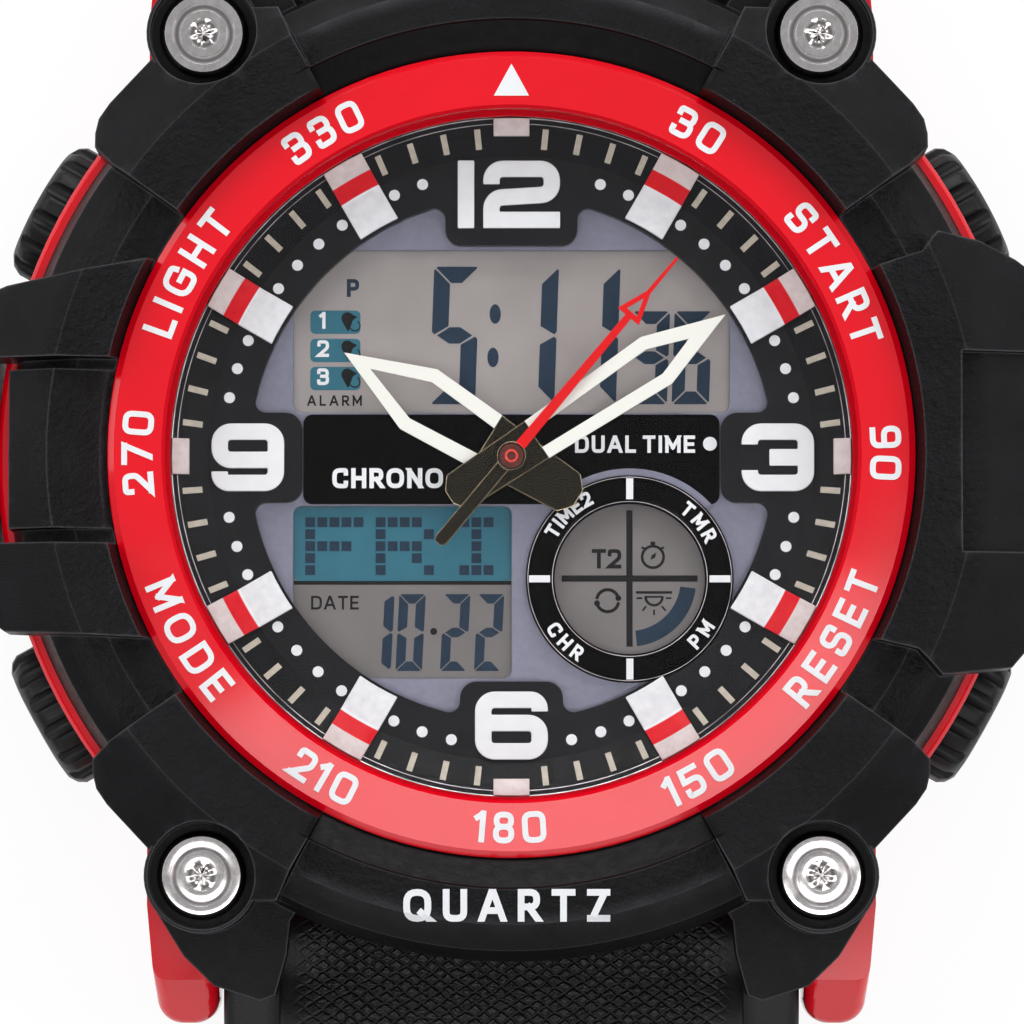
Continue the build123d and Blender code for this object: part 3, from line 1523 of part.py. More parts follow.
def hand_face(points, angle, height):
    """Flat shape of a hand, mirrored about its middle line, turned clockwise from 12 o'clock by the angle."""
    outline = points + [(along, -across) for along, across in reversed(points) if across > 0]
    turn = radians(90 - angle)
    turned = []
    for along, across in outline:
        turned.append((along * cos(turn) - across * sin(turn), along * sin(turn) + across * cos(turn)))
    return plan_face(turned, height)


def hand_points(shares, length, half_width):
    """Outline points of a hand from shares of its length and half its width."""
    return [(along * length, across * half_width) for along, across in shares]


hour_outline_shares = [(-0.398, 0.26), (-0.34, 0.63), (-0.05, 0.75), (0.15, 0.86), (0.553, 1), (1, 0)]
hour_opening_shares = [(0.15, 0.43), (0.541, 0.6), (0.842, 0)]
minute_outline_shares = [(-0.289, 0.26), (-0.25, 0.72), (0.118, 0.79), (0.676, 1), (1, 0)]
minute_opening_shares = [(0.118, 0.33), (0.667, 0.52), (0.827, 0)]
second_outline_shares = [
    (-0.44, 0.3),
    (-0.42, 0.5),
    (-0.06, 0.5),
    (0.05, 0.4),
    (0.702, 0.26),
    (0.702, 1),
    (0.825, 0.17),
    (1, 0.1),
]
second_opening_shares = [(0.723, 0.47), (0.794, 0)]

with BuildPart() as hour_hand:
    outline = hand_points(hour_outline_shares, hour_hand_length, hour_hand_half_width)
    extrude(hand_face(outline, hour_hand_angle, hour_hand_bottom), amount=hand_thickness)
    opening = hand_points(hour_opening_shares, hour_hand_length, hour_hand_half_width)
    extrude(hand_face(opening, hour_hand_angle, hour_hand_bottom), amount=hand_thickness, mode=Mode.SUBTRACT)
    hole = disc_face(hour_tube_radius + hand_fit_gap, hour_hand_bottom)
    extrude(hole, amount=hand_thickness, mode=Mode.SUBTRACT)
hour_hand.part.label = "hour_hand"
export_step(hour_hand.part, "parts/hour_hand.step")

with BuildPart() as minute_hand:
    outline = hand_points(minute_outline_shares, minute_hand_length, minute_hand_half_width)
    extrude(hand_face(outline, minute_hand_angle, minute_hand_bottom), amount=hand_thickness)
    opening = hand_points(minute_opening_shares, minute_hand_length, minute_hand_half_width)
    opening_face = hand_face(opening, minute_hand_angle, minute_hand_bottom)
    extrude(opening_face, amount=hand_thickness, mode=Mode.SUBTRACT)
    hole = disc_face(minute_tube_radius + hand_fit_gap, minute_hand_bottom)
    extrude(hole, amount=hand_thickness, mode=Mode.SUBTRACT)
minute_hand.part.label = "minute_hand"
export_step(minute_hand.part, "parts/minute_hand.step")

with BuildPart() as second_hand:
    outline = hand_points(second_outline_shares, second_hand_length, second_hand_half_width)
    extrude(hand_face(outline, second_hand_angle, second_hand_bottom), amount=hand_thickness)
    opening = hand_points(second_opening_shares, second_hand_length, second_hand_half_width)
    opening_face = hand_face(opening, second_hand_angle, second_hand_bottom)
    extrude(opening_face, amount=hand_thickness, mode=Mode.SUBTRACT)
    boss_length = hand_thickness + second_boss_height
    extrude(disc_face(second_boss_radius, second_hand_bottom), amount=boss_length)
    hole = disc_face(second_arbor_radius + hand_fit_gap, second_hand_bottom)
    extrude(hole, amount=boss_length, mode=Mode.SUBTRACT)
second_hand.part.label = "second_hand"
export_step(second_hand.part, "parts/second_hand.step")

# Strap halves: a wide end around the spring bar that falls and narrows to an even band, with a raised pad
def strap_top(lift):
    """Top line of a strap half from the spring bar outward; the lift raises its level part."""
    return [
        (bar_reach, bar_height + strap_eye_radius),
        (strap_crown_reach, strap_crown_height),
        (strap_shoulder_reach, strap_shoulder_height + lift / 2),
        (strap_slope_reach, strap_slope_height + lift),
        (strap_level_reach, strap_thickness + lift),
    ]


def strap_plan(side, end_reach, end_half_width):
    """Outline of a strap half seen from above."""
    half_widths = [
        (strap_flat + strap_start_gap, strap_half_width),
        (strap_wide_reach, strap_half_width),
        (strap_waist_reach, strap_waist_half_width),
        (strap_level_reach, strap_level_half_width),
        (end_reach, end_half_width),
    ]
    right = [(half_width, side * reach) for reach, half_width in half_widths]
    left = [(-x, y) for x, y in reversed(right)]
    return plan_face(right + left, 0)


def strap_pad(side, lift):
    """Raised middle pad of a strap half."""
    pad_side = [
        (pad_start, pad_root_height),
        (pad_start, pad_start_height),
        (pad_crown_reach, pad_crown_height),
        (strap_shoulder_reach, strap_shoulder_height + lift / 2 + pad_rise),
        (strap_slope_reach, strap_slope_height + lift + pad_slope_rise),
        (strap_level_reach, strap_thickness + lift + pad_level_rise),
        (pad_end, strap_thickness + lift),
        (pad_end, strap_thickness / 2 + lift),
    ]
    half_widths = [
        (pad_start, pad_half_width),
        (strap_wide_reach, pad_half_width),
        (strap_waist_reach, pad_waist_half_width),
        (pad_end, pad_end_half_width),
    ]
    right = [(half_width, side * reach) for reach, half_width in half_widths]
    left = [(-x, y) for x, y in reversed(right)]
    with BuildPart() as pad:
        extrude(strap_face(pad_side, side, pad_half_width), amount=2 * pad_half_width)
        extrude(plan_face(right + left, 0), amount=pad_start_height, mode=Mode.INTERSECT)
    return pad.part


lower_side = [(bar_reach, bar_height - strap_eye_radius), (strap_base_reach, 0), (lower_strap_reach, 0)]
lower_side += [(lower_strap_reach, lower_strap_end_thickness)] + strap_top(0)[::-1]
with BuildPart() as strap_lower:
    extrude(strap_face(lower_side, lower, strap_half_width), amount=2 * strap_half_width)
    eye = strap_disc(strap_eye_radius, bar_reach, bar_height, lower, strap_half_width)
    extrude(eye, amount=2 * strap_half_width)
    plan = strap_plan(lower, lower_strap_reach, lower_strap_end_half_width)
    extrude(plan, amount=pad_start_height, mode=Mode.INTERSECT)
    fillet(strap_lower.edges().filter_by(Axis.Z).group_by(Axis.Y)[0], lower_strap_tip_corner)
    add(strap_pad(lower, 0))
    bore = strap_disc(bar_radius + running_gap, bar_reach, bar_height, lower, strap_half_width)
    extrude(bore, amount=2 * strap_half_width, mode=Mode.SUBTRACT)
    with BuildSketch():
        holes = [(0, -lower_hole_start - hole * lower_hole_pitch) for hole in range(lower_hole_count)]
        with Locations(*holes):
            Circle(lower_hole_radius)
    extrude(amount=strap_thickness, mode=Mode.SUBTRACT)
strap_lower.part.label = "strap_lower"
export_step(strap_lower.part, "parts/strap_lower.step")

upper_side = [
    (bar_reach, bar_height - strap_eye_radius),
    (strap_wide_reach, keeper_lift),
    (buckle_bar_reach, keeper_lift),
    (buckle_bar_reach, keeper_lift + strap_thickness),
]
upper_side += strap_top(keeper_lift)[::-1]
with BuildPart() as strap_upper:
    extrude(strap_face(upper_side, upper, strap_half_width), amount=2 * strap_half_width)
    eye = strap_disc(strap_eye_radius, bar_reach, bar_height, upper, strap_half_width)
    extrude(eye, amount=2 * strap_half_width)
    buckle_eye = strap_disc(buckle_eye_radius, buckle_bar_reach, buckle_bar_height, upper, strap_half_width)
    extrude(buckle_eye, amount=2 * strap_half_width)
    plan = strap_plan(upper, buckle_bar_reach + buckle_eye_radius, strap_level_half_width)
    extrude(plan, amount=pad_start_height, mode=Mode.INTERSECT)
    add(strap_pad(upper, keeper_lift))
    bore = strap_disc(bar_radius + running_gap, bar_reach, bar_height, upper, strap_half_width)
    extrude(bore, amount=2 * strap_half_width, mode=Mode.SUBTRACT)
    bore_radius = buckle_bar_radius + seat_gap
    bore = strap_disc(bore_radius, buckle_bar_reach, buckle_bar_height, upper, strap_half_width)
    extrude(bore, amount=2 * strap_half_width, mode=Mode.SUBTRACT)
    with BuildSketch():
        with Locations((0, buckle_bar_reach - buckle_slot_length)):
            slot_length = buckle_slot_length + 2 * buckle_eye_radius
            Rectangle(2 * buckle_slot_half, slot_length, align=(Align.CENTER, Align.MIN))
    extrude(amount=buckle_bar_height + 2 * buckle_eye_radius, mode=Mode.SUBTRACT)
strap_upper.part.label = "strap_upper"
export_step(strap_upper.part, "parts/strap_upper.step")

# Keeper loop, buckle frame, buckle bar and prong
with BuildPart() as keeper:
    keeper_middle = keeper_lift - keeper_gap + keeper_opening / 2
    loop_plane = Plane(
        (0, keeper_reach + keeper_length / 2, keeper_middle),
        x_dir=(1, 0, 0),
        z_dir=(0, -1, 0),
    )
    with BuildSketch(loop_plane):
        outer_width = 2 * (keeper_inner_half + keeper_wall)
        RectangleRounded(outer_width, keeper_opening + 2 * keeper_wall, keeper_corner + keeper_wall)
        RectangleRounded(2 * keeper_inner_half, keeper_opening, keeper_corner, mode=Mode.SUBTRACT)
    extrude(amount=keeper_length)
keeper.part.label = "keeper"
export_step(keeper.part, "parts/keeper.step")

frame_half = buckle_inner_half + buckle_arm_width
frame_back = buckle_bar_reach - buckle_arm_back
frame_front_inner = buckle_front_reach - buckle_front_width
frame_side = [
    (frame_back, buckle_arm_low),
    (buckle_bar_reach, buckle_arm_low),
    (buckle_front_reach, 0),
    (buckle_front_reach, buckle_front_height),
    (buckle_bar_reach + buckle_eye_radius, buckle_arm_height),
    (frame_back, buckle_arm_height),
]
with BuildPart() as buckle_frame:
    with BuildSketch():
        with Locations((0, frame_back)):
            Rectangle(2 * frame_half, buckle_front_reach - frame_back, align=(Align.CENTER, Align.MIN))
    extrude(amount=buckle_arm_height)
    fillet(buckle_frame.edges().filter_by(Axis.Z), buckle_corner)
    extrude(strap_face(frame_side, upper, frame_half), amount=2 * frame_half, mode=Mode.INTERSECT)
    with BuildSketch():
        with Locations((0, frame_back - buckle_corner)):
            window_length = frame_front_inner - frame_back + buckle_corner
            Rectangle(2 * buckle_inner_half, window_length, align=(Align.CENTER, Align.MIN))
    extrude(amount=buckle_arm_height, mode=Mode.SUBTRACT)
    bar_hole_half = frame_half - buckle_bar_end + seat_gap
    bore = strap_disc(
        buckle_bar_radius + running_gap, buckle_bar_reach, buckle_bar_height, upper, bar_hole_half
    )
    extrude(bore, amount=2 * bar_hole_half, mode=Mode.SUBTRACT)
buckle_frame.part.label = "buckle_frame"
export_step(buckle_frame.part, "parts/buckle_frame.step")

with BuildPart() as buckle_bar:
    bar_half = frame_half - buckle_bar_end
    rod = strap_disc(buckle_bar_radius, buckle_bar_reach, buckle_bar_height, upper, bar_half)
    extrude(rod, amount=2 * bar_half)
buckle_bar.part.label = "buckle_bar"
export_step(buckle_bar.part, "parts/buckle_bar.step")

# The prong lies on the front bar of the frame, following its slope
frame_slope_length = buckle_front_reach - buckle_bar_reach - buckle_eye_radius
frame_slope = (buckle_arm_height - buckle_front_height) / frame_slope_length
prong_bottom_front = buckle_front_height + prong_gap
prong_bottom_inner = prong_bottom_front + frame_slope * buckle_front_width
prong_bottom_back = prong_bottom_inner + prong_thickness / 4
prong_outline = [
    (buckle_bar_reach, prong_bottom_back),
    (frame_front_inner, prong_bottom_inner),
    (buckle_front_reach, prong_bottom_front),
    (buckle_front_reach + prong_tip_overhang, prong_bottom_front + prong_thickness / 2),
    (frame_front_inner, prong_bottom_inner + prong_thickness),
    (buckle_bar_reach, buckle_bar_height + buckle_eye_radius),
]
with BuildPart() as buckle_prong:
    extrude(strap_face(prong_outline, upper, prong_half_width), amount=2 * prong_half_width)
    prong_eye = strap_disc(buckle_eye_radius, buckle_bar_reach, buckle_bar_height, upper, prong_half_width)
    extrude(prong_eye, amount=2 * prong_half_width)
    bore = strap_disc(
        buckle_bar_radius + running_gap, buckle_bar_reach, buckle_bar_height, upper, prong_half_width
    )
    extrude(bore, amount=2 * prong_half_width, mode=Mode.SUBTRACT)
buckle_prong.part.label = "buckle_prong"
export_step(buckle_prong.part, "parts/buckle_prong.step")
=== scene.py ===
import json
import math

import bmesh
import bpy
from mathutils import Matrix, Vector


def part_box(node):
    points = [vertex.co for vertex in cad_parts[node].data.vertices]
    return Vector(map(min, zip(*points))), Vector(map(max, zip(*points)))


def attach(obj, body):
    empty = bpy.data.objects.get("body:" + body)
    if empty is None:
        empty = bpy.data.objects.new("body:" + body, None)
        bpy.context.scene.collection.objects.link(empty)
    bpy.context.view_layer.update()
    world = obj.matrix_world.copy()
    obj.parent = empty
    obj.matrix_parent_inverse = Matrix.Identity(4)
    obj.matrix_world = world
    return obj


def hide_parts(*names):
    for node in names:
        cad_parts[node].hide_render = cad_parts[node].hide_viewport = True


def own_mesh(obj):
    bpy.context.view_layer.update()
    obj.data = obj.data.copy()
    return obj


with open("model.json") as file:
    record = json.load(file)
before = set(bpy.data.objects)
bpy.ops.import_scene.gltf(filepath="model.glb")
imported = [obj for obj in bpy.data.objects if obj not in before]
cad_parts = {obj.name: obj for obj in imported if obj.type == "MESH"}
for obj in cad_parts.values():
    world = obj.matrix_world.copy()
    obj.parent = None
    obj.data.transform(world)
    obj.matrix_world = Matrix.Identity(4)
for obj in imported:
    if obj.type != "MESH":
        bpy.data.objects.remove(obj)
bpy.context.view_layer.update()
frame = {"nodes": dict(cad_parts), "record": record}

MM = 0.001
nodes = frame["nodes"]


def top_of(name):
    """Highest level of a CAD node, in millimetres."""
    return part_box(name)[1][2] / MM


# Shader nodes

GRAIN_DETAIL = 2.0


def feed(tree, node, values):
    """Sets or links inputs of a node; each value is a number, a tuple or a socket."""
    for key, value in values.items():
        if isinstance(value, (int, float, tuple)):
            node.inputs[key].default_value = value
        else:
            tree.links.new(value, node.inputs[key])


def add_node(tree, kind, values, **settings):
    """A new shader node with its settings and inputs."""
    node = tree.nodes.new(kind)
    for key, setting in settings.items():
        setattr(node, key, setting)
    feed(tree, node, values)
    return node


def new_material(name):
    """An empty material with one Principled shader."""
    made = bpy.data.materials.new(name)
    made.use_nodes = True
    return made, made.node_tree, made.node_tree.nodes["Principled BSDF"]


def position(tree):
    """Places in the model's own coordinates, in metres."""
    return tree.nodes.new("ShaderNodeTexCoord").outputs["Object"]


def axes(tree, vector):
    """The X, Y and Z of a vector."""
    return add_node(tree, "ShaderNodeSeparateXYZ", {0: vector}).outputs


def maths(tree, operation, *values):
    """One Math node."""
    return add_node(tree, "ShaderNodeMath", dict(enumerate(values)), operation=operation).outputs[0]


def times(tree, first, second):
    """Two values multiplied."""
    return maths(tree, "MULTIPLY", first, second)


def vector_maths(tree, operation, *values):
    """One Vector Math node's outputs."""
    return add_node(tree, "ShaderNodeVectorMath", dict(enumerate(values)), operation=operation).outputs


def noise(tree, size_mm, detail=3.0, roughness=0.55):
    """Noise in the model's own coordinates, with features of about the given size."""
    return add_node(tree, "ShaderNodeTexNoise", {
        "Scale": 1 / (size_mm * MM), "Detail": detail, "Roughness": roughness, "Vector": position(tree),
    }).outputs["Fac"]


def spread(tree, value, low, high, start=0.3, end=0.7):
    """The value mapped from start..end to low..high."""
    return add_node(tree, "ShaderNodeMapRange", {
        "From Min": start, "From Max": end, "To Min": low, "To Max": high, "Value": value,
    }).outputs["Result"]


def patchy(tree, size_mm, low=0, high=1):
    """Uneven values from low to high, in patches of about the given size."""
    return spread(tree, noise(tree, size_mm), low, high)


def step_between(tree, value, edge, softness=0.02):
    """0 below the edge and 1 above it."""
    return spread(tree, value, 0, 1, edge - softness, edge + softness)


def mixed(tree, factor, first, second):
    """A colour between two colours; each is a colour or a socket."""
    first, second = ((*c, 1) if isinstance(c, tuple) else c for c in (first, second))
    return add_node(tree, "ShaderNodeMix", {6: first, 7: second, 0: factor}, data_type="RGBA").outputs[2]


def bump(tree, shader, height, depth_mm, before=None):
    """A bump of the given depth on the shader's normal, over an earlier one if there is one."""
    bumper = add_node(tree, "ShaderNodeBump", {"Distance": depth_mm * MM, "Height": height})
    if before is not None:
        feed(tree, bumper, {"Normal": before})
    feed(tree, shader, {"Normal": bumper.outputs["Normal"]})
    return bumper.outputs["Normal"]


def grain(tree, shader, size_mm, depth_mm):
    """A fine grain on the shader's normal."""
    bump(tree, shader, noise(tree, size_mm, GRAIN_DETAIL), depth_mm)


def radius_from(tree, centre=(0, 0), place=None):
    """Distance in millimetres from an upright line, in the model's own coordinates."""
    if place is None:
        place = position(tree)
    shifted = vector_maths(tree, "MULTIPLY_ADD", place, (1 / MM, 1 / MM, 0), (-centre[0], -centre[1], 0))
    return vector_maths(tree, "LENGTH", shifted[0])["Value"]


EDGE_SAMPLES = 6
EDGE_START, EDGE_END = 0.90, 0.998


def edge_highlight_mask(tree, radius_mm):
    """1 on edges and 0 on flat faces: the mask for painted highlights along edges."""
    rounder = add_node(tree, "ShaderNodeBevel", {"Radius": radius_mm * MM}, samples=EDGE_SAMPLES)
    true_normal = tree.nodes.new("ShaderNodeNewGeometry").outputs["True Normal"]
    match = vector_maths(tree, "DOT_PRODUCT", rounder.outputs[0], true_normal)["Value"]
    return spread(tree, match, 1, 0, EDGE_START, EDGE_END)


def show_mix(tree, share, first, second):
    """Shows two shaders mixed."""
    mix = add_node(tree, "ShaderNodeMixShader", {0: share, 1: first.outputs[0], 2: second.outputs[0]})
    feed(tree, tree.nodes["Material Output"], {"Surface": mix.outputs[0]})


# Plain materials

ROUGH_SPREAD = 0.05
SHEEN_SHARE = 0.6
COAT_ROUGHNESS = 0.06


def surface(name, colour, rough, tone, tone_size, grain_size, grain_depth, metal=0.0, coat=0.0, specular=0.5):
    """A moulded, painted or metal surface with uneven tone, uneven shine and a fine grain."""
    made, tree, shader = new_material(name)
    darker = tuple(c * (1 - tone) for c in colour)
    lighter = tuple(min(1.0, c * (1 + tone)) for c in colour)
    feed(tree, shader, {
        "Base Color": mixed(tree, patchy(tree, tone_size), darker, lighter),
        "Roughness": patchy(tree, tone_size * SHEEN_SHARE, rough - ROUGH_SPREAD, rough + ROUGH_SPREAD),
        "Metallic": metal, "Specular IOR Level": specular,
        "Coat Weight": coat, "Coat Roughness": COAT_ROUGHNESS,
    })
    grain(tree, shader, grain_size, grain_depth)
    return made


# Colour, roughness, tone's strength and size, grain's size and depth (millimetres), and what is special
SURFACES = {
    "red_gloss": ((0.76, 0.0, 0.010), 0.12, 0.04, 6, 0.9, 0.002, {"coat": 0.3, "specular": 0.4}),
    "dial_black": ((0.008, 0.008, 0.0095), 0.36, 0.2, 1.2, 0.12, 0.008, {"specular": 0.1}),
    "glossy_black": ((0.0015, 0.0012, 0.0014), 0.12, 0.2, 2, 1.2, 0.002, {"specular": 0.06}),
    "print_white": ((0.80, 0.81, 0.83), 0.4, 0.03, 0.8, 0.1, 0.004, {"specular": 0.3}),
    "dot_white": ((0.78, 0.80, 0.83), 0.35, 0.05, 0.4, 0.08, 0.006, {}),
    "tick_tan": ((0.50, 0.45, 0.37), 0.45, 0.12, 0.4, 0.1, 0.006, {}),
    "hub_red": ((0.70, 0.05, 0.03), 0.25, 0.1, 0.3, 0.1, 0.003, {"metal": 0.3}),
    "hub_brown": ((0.10, 0.022, 0.016), 0.2, 0.25, 0.4, 0.1, 0.003, {"metal": 0.4}),
    # Pale colour of the thin painted highlight lines on rims
    "rim_pale": ((0.50, 0.46, 0.48), 0.2, 0.5, 1.2, 0.3, 0.004, {"metal": 0.4}),
    "steel": ((0.52, 0.52, 0.53), 0.3, 0.08, 1.5, 0.25, 0.004, {"metal": 1}),
    "brass": ((0.60, 0.42, 0.16), 0.28, 0.08, 0.8, 0.2, 0.003, {"metal": 1}),
    "copper": ((0.55, 0.22, 0.09), 0.3, 0.15, 0.4, 0.12, 0.02, {"metal": 0.9}),
    "board_green": ((0.015, 0.1, 0.045), 0.35, 0.2, 1.0, 0.3, 0.01, {}),
    "module_resin": ((0.04, 0.04, 0.045), 0.5, 0.15, 1.2, 0.2, 0.01, {}),
    "seal_rubber": ((0.02, 0.02, 0.02), 0.6, 0.2, 0.8, 0.15, 0.01, {}),
    "lamp_white": ((0.7, 0.7, 0.55), 0.25, 0.05, 0.5, 0.2, 0.004, {}),
    "lcd_navy": ((0.012, 0.028, 0.052), 0.4, 0.15, 0.5, 0.1, 0.003, {"specular": 0.15}),
    "lcd_black": ((0.004, 0.004, 0.005), 0.4, 0.2, 0.5, 0.1, 0.003, {"specular": 0.15}),
    "lcd_teal": ((0.027, 0.140, 0.195), 0.35, 0.06, 1.5, 0.15, 0.003, {"specular": 0.2}),
    "dial_grey": ((0.185, 0.185, 0.245), 0.33, 0.07, 0.35, 0.07, 0.006, {"metal": 0.3, "specular": 0.3}),
    "pusher_black": ((0.010, 0.010, 0.011), 0.42, 0.25, 1.0, 0.15, 0.012, {"specular": 0.25}),
}
paints = {name: surface(name, *row[:-1], **row[-1]) for name, row in SURFACES.items()}

# Special materials

RIVET_CENTRE = (16.65, 22.75)
RINGS_TURN, STAR_POINTS = 7.5, 5
STAR_START, STAR_END = 0.15, 0.85
CHROME_SPECK, GROOVE_END = 0.5, -0.5
RING_DEPTH, STAR_DEPTH = 0.0055, 0.14
# Colour of the painted shade in the turned rings' grooves
GROOVE_SHADE_CHROME = (0.30, 0.27, 0.27)
DARK_CHROME, PALE_CHROME = (0.64, 0.60, 0.59), (0.80, 0.77, 0.76)


def chrome(tree, shader):
    """Polished lug screws: turned rings about each screw's axis and a small star pressed in the middle; the
    rings' grooves are painted darker, as painted shade.
    """
    folded = vector_maths(tree, "ABSOLUTE", position(tree))[0]
    reach = radius_from(tree, RIVET_CENTRE, folded)
    parts = axes(tree, folded)
    rise = maths(tree, "SUBTRACT", parts["Y"], RIVET_CENTRE[1] * MM)
    run = maths(tree, "SUBTRACT", parts["X"], RIVET_CENTRE[0] * MM)
    rings = maths(tree, "SINE", times(tree, reach, RINGS_TURN))
    star = maths(tree, "COSINE", times(tree, maths(tree, "ARCTAN2", rise, run), STAR_POINTS))
    pressed = times(tree, times(tree, star, spread(tree, reach, 1, 0, STAR_START, STAR_END)), reach)
    bright = mixed(tree, patchy(tree, CHROME_SPECK), DARK_CHROME, PALE_CHROME)
    feed(tree, shader, {
        # Painted shade: darker colour in the grooves between the turned rings
        "Base Color": mixed(tree, spread(tree, rings, 0, 1, -1, GROOVE_END), GROOVE_SHADE_CHROME, bright),
        "Metallic": 1,
    })
    bump(tree, shader, pressed, STAR_DEPTH, bump(tree, shader, rings, RING_DEPTH))


DISPLAY_BLEND, DISPLAY_CLOUD = 0.5, 3.5
LOWER_TONES = (0.165, 0.150, 0.148), (0.190, 0.174, 0.170)
UPPER_TONES = (0.300, 0.272, 0.266), (0.345, 0.315, 0.306)


def display(tree, shader):
    """The LCD panel: warm grey, paler in the upper window than in the two lower ones, mottled a little."""
    upper_half = step_between(tree, axes(tree, position(tree))["Y"], 0, DISPLAY_BLEND * MM)
    cloud = patchy(tree, DISPLAY_CLOUD)
    tones = mixed(tree, cloud, *LOWER_TONES), mixed(tree, cloud, *UPPER_TONES)
    feed(tree, shader, {"Base Color": mixed(tree, upper_half, *tones), "Specular IOR Level": 0.2})
    grain(tree, shader, 0.1, 0.003)


GAP_RIM, GAP_BLEND = 23.45, 0.05
GAP_SHARE, GAP_SHARE_BLEND = 0.87, 0.01
LEATHER_RIM, LEATHER_BLEND = 25.6, 0.4
RESIN_CLOUD, RESIN_SPECK, RESIN_FINE, RESIN_LEATHER = 3.0, 0.16, 0.10, 0.42
RESIN_EDGE, RESIN_DEPTH = 0.17, 0.16
RESIN_DARK, RESIN_PALE = (0.0035, 0.0035, 0.0042), (0.007, 0.007, 0.0083)
# The pale colour is a painted highlight on edges, also used for random specks; the darkest is painted shade
# in the deep gap
RESIN_EDGE_HIGHLIGHT_AND_SPECKS, RESIN_GAP_SHADE = (0.075, 0.075, 0.080), (0.0016, 0.0016, 0.002)


def shell_resin(tree, shader):
    """Black moulded resin: leathery grain on the slopes near the dial, fine satin further out, painted
    highlights along the edges and random pale specks.

    The deep gap between the ring and the bands at 12 and 6 is painted darker, as painted shade, and smooth.
    """
    reach = radius_from(tree)
    along_y = maths(tree, "ABSOLUTE", axes(tree, position(tree))["Y"])
    steepness = maths(tree, "DIVIDE", along_y, times(tree, reach, MM))
    upright = step_between(tree, steepness, GAP_SHARE, GAP_SHARE_BLEND)
    past_gap = times(tree, upright, step_between(tree, reach, GAP_RIM, GAP_BLEND))
    # Mask of the deep gap, which gets painted shade and a calmer bump
    gap = times(tree, upright, maths(tree, "SUBTRACT", 1, past_gap))
    plain = mixed(tree, patchy(tree, RESIN_CLOUD), RESIN_DARK, RESIN_PALE)
    specks = spread(tree, noise(tree, RESIN_SPECK, GRAIN_DETAIL), 0, 1, 0.70, 0.76)
    # Painted highlight: a pale colour along the edges, and random pale specks
    edges = maths(tree, "MAXIMUM", times(tree, edge_highlight_mask(tree, RESIN_EDGE), 0.8), times(tree, specks, 0.35))
    feed(tree, shader, {
        "Base Color": mixed(tree, gap, mixed(tree, edges, plain, RESIN_EDGE_HIGHLIGHT_AND_SPECKS), RESIN_GAP_SHADE),
        "IOR": 1.4, "Specular IOR Level": 0.22,
    })
    fine = times(tree, noise(tree, RESIN_FINE, 3.0, 0.6), 0.25)
    fading = spread(tree, step_between(tree, reach, LEATHER_RIM, LEATHER_BLEND), 1.7, 0.14, 0, 1)
    leathery = times(tree, noise(tree, RESIN_LEATHER, 5.0, 0.62), fading)
    calm = spread(tree, gap, 1.0, 0.1, 0, 1)
    bump(tree, shader, times(tree, maths(tree, "ADD", fine, leathery), calm), RESIN_DEPTH)


# Where each band of a marker starts, and its darkest and palest colours
MARKER_SPECK = 0.5
MARKER_BANDS = (
    (0, (0.74, 0.76, 0.79), (0.86, 0.87, 0.89)),
    (16.55, (0.68, 0.004, 0.014), (0.76, 0.012, 0.022)),
    (17.45, (0.66, 0.56, 0.55), (0.78, 0.68, 0.67)),
)


def markers(tree, shader):
    """Hour markers: white, a red band and a pinkish white end, by distance from the centre."""
    reach, speck = radius_from(tree), patchy(tree, MARKER_SPECK)
    colour = mixed(tree, speck, *MARKER_BANDS[0][1:])
    for start, dark, pale in MARKER_BANDS[1:]:
        colour = mixed(tree, step_between(tree, reach, start), colour, mixed(tree, speck, dark, pale))
    feed(tree, shader, {"Base Color": colour, "Specular IOR Level": 0.15})
    grain(tree, shader, 0.2, 0.006)


CREAM, HAND_RED = (0.84, 0.84, 0.78), (0.72, 0.006, 0.008)
# The hands' dark metal and the gold of their painted edge highlights
DARK_METAL, PALE_METAL, GOLD_EDGE_HIGHLIGHT = (0.022, 0.019, 0.014), (0.028, 0.024, 0.018), (0.78, 0.64, 0.43)
HAND_SPECK, HAND_EDGE = 0.9, 0.08


def hand(tree, shader, front, joint_mm, degrees):
    """A hand: one colour beyond a distance from the centre, dark metal nearer and on the tail, with a painted
    gold highlight along its edges.
    """
    turn = math.radians(90 - degrees)
    along_hand = (math.cos(turn) / MM, math.sin(turn) / MM, 0)
    reach = vector_maths(tree, "DOT_PRODUCT", position(tree), along_hand)["Value"]
    beyond = step_between(tree, reach, joint_mm)
    metal = mixed(tree, patchy(tree, HAND_SPECK), DARK_METAL, PALE_METAL)
    # Painted highlight: gold along the edges of the dark metal
    with_edge_highlight = mixed(tree, edge_highlight_mask(tree, HAND_EDGE), metal, GOLD_EDGE_HIGHLIGHT)
    feed(tree, shader, {
        "Base Color": mixed(tree, beyond, with_edge_highlight, front),
        "Metallic": spread(tree, beyond, 0.9, 0.0, 0, 1),
        "Specular IOR Level": 0.2,
    })
    grain(tree, shader, 0.2, 0.0015)


def crystal(tree, shader):
    """Clear mineral glass that lets lamp light through to the dial."""
    feed(tree, shader, {"Base Color": (1, 1, 1, 1), "Transmission Weight": 1, "IOR": 1.18})
    rays = tree.nodes.new("ShaderNodeLightPath").outputs
    let_through = maths(tree, "MAXIMUM", rays["Is Shadow Ray"], rays["Is Diffuse Ray"])
    show_mix(tree, let_through, shader, tree.nodes.new("ShaderNodeBsdfTransparent"))


CREASE_TURNS = (56, -54)
CREASE_SCALE = 0.56 / MM
CREASE_DEPTH, LEATHER_GRAIN_DEPTH = 0.15, 0.018
CREASED_HALF, PLAIN_HALF = 9.0, 12.0
WRINKLE, LEATHER_GRAIN = 0.55, 0.2
# The dark resin, also the painted shade in the creases, and the paler painted highlight on the ridges
LEATHER_DARK, LEATHER_RIDGE_HIGHLIGHT = (0.003, 0.003, 0.0034), (0.012, 0.012, 0.0135)


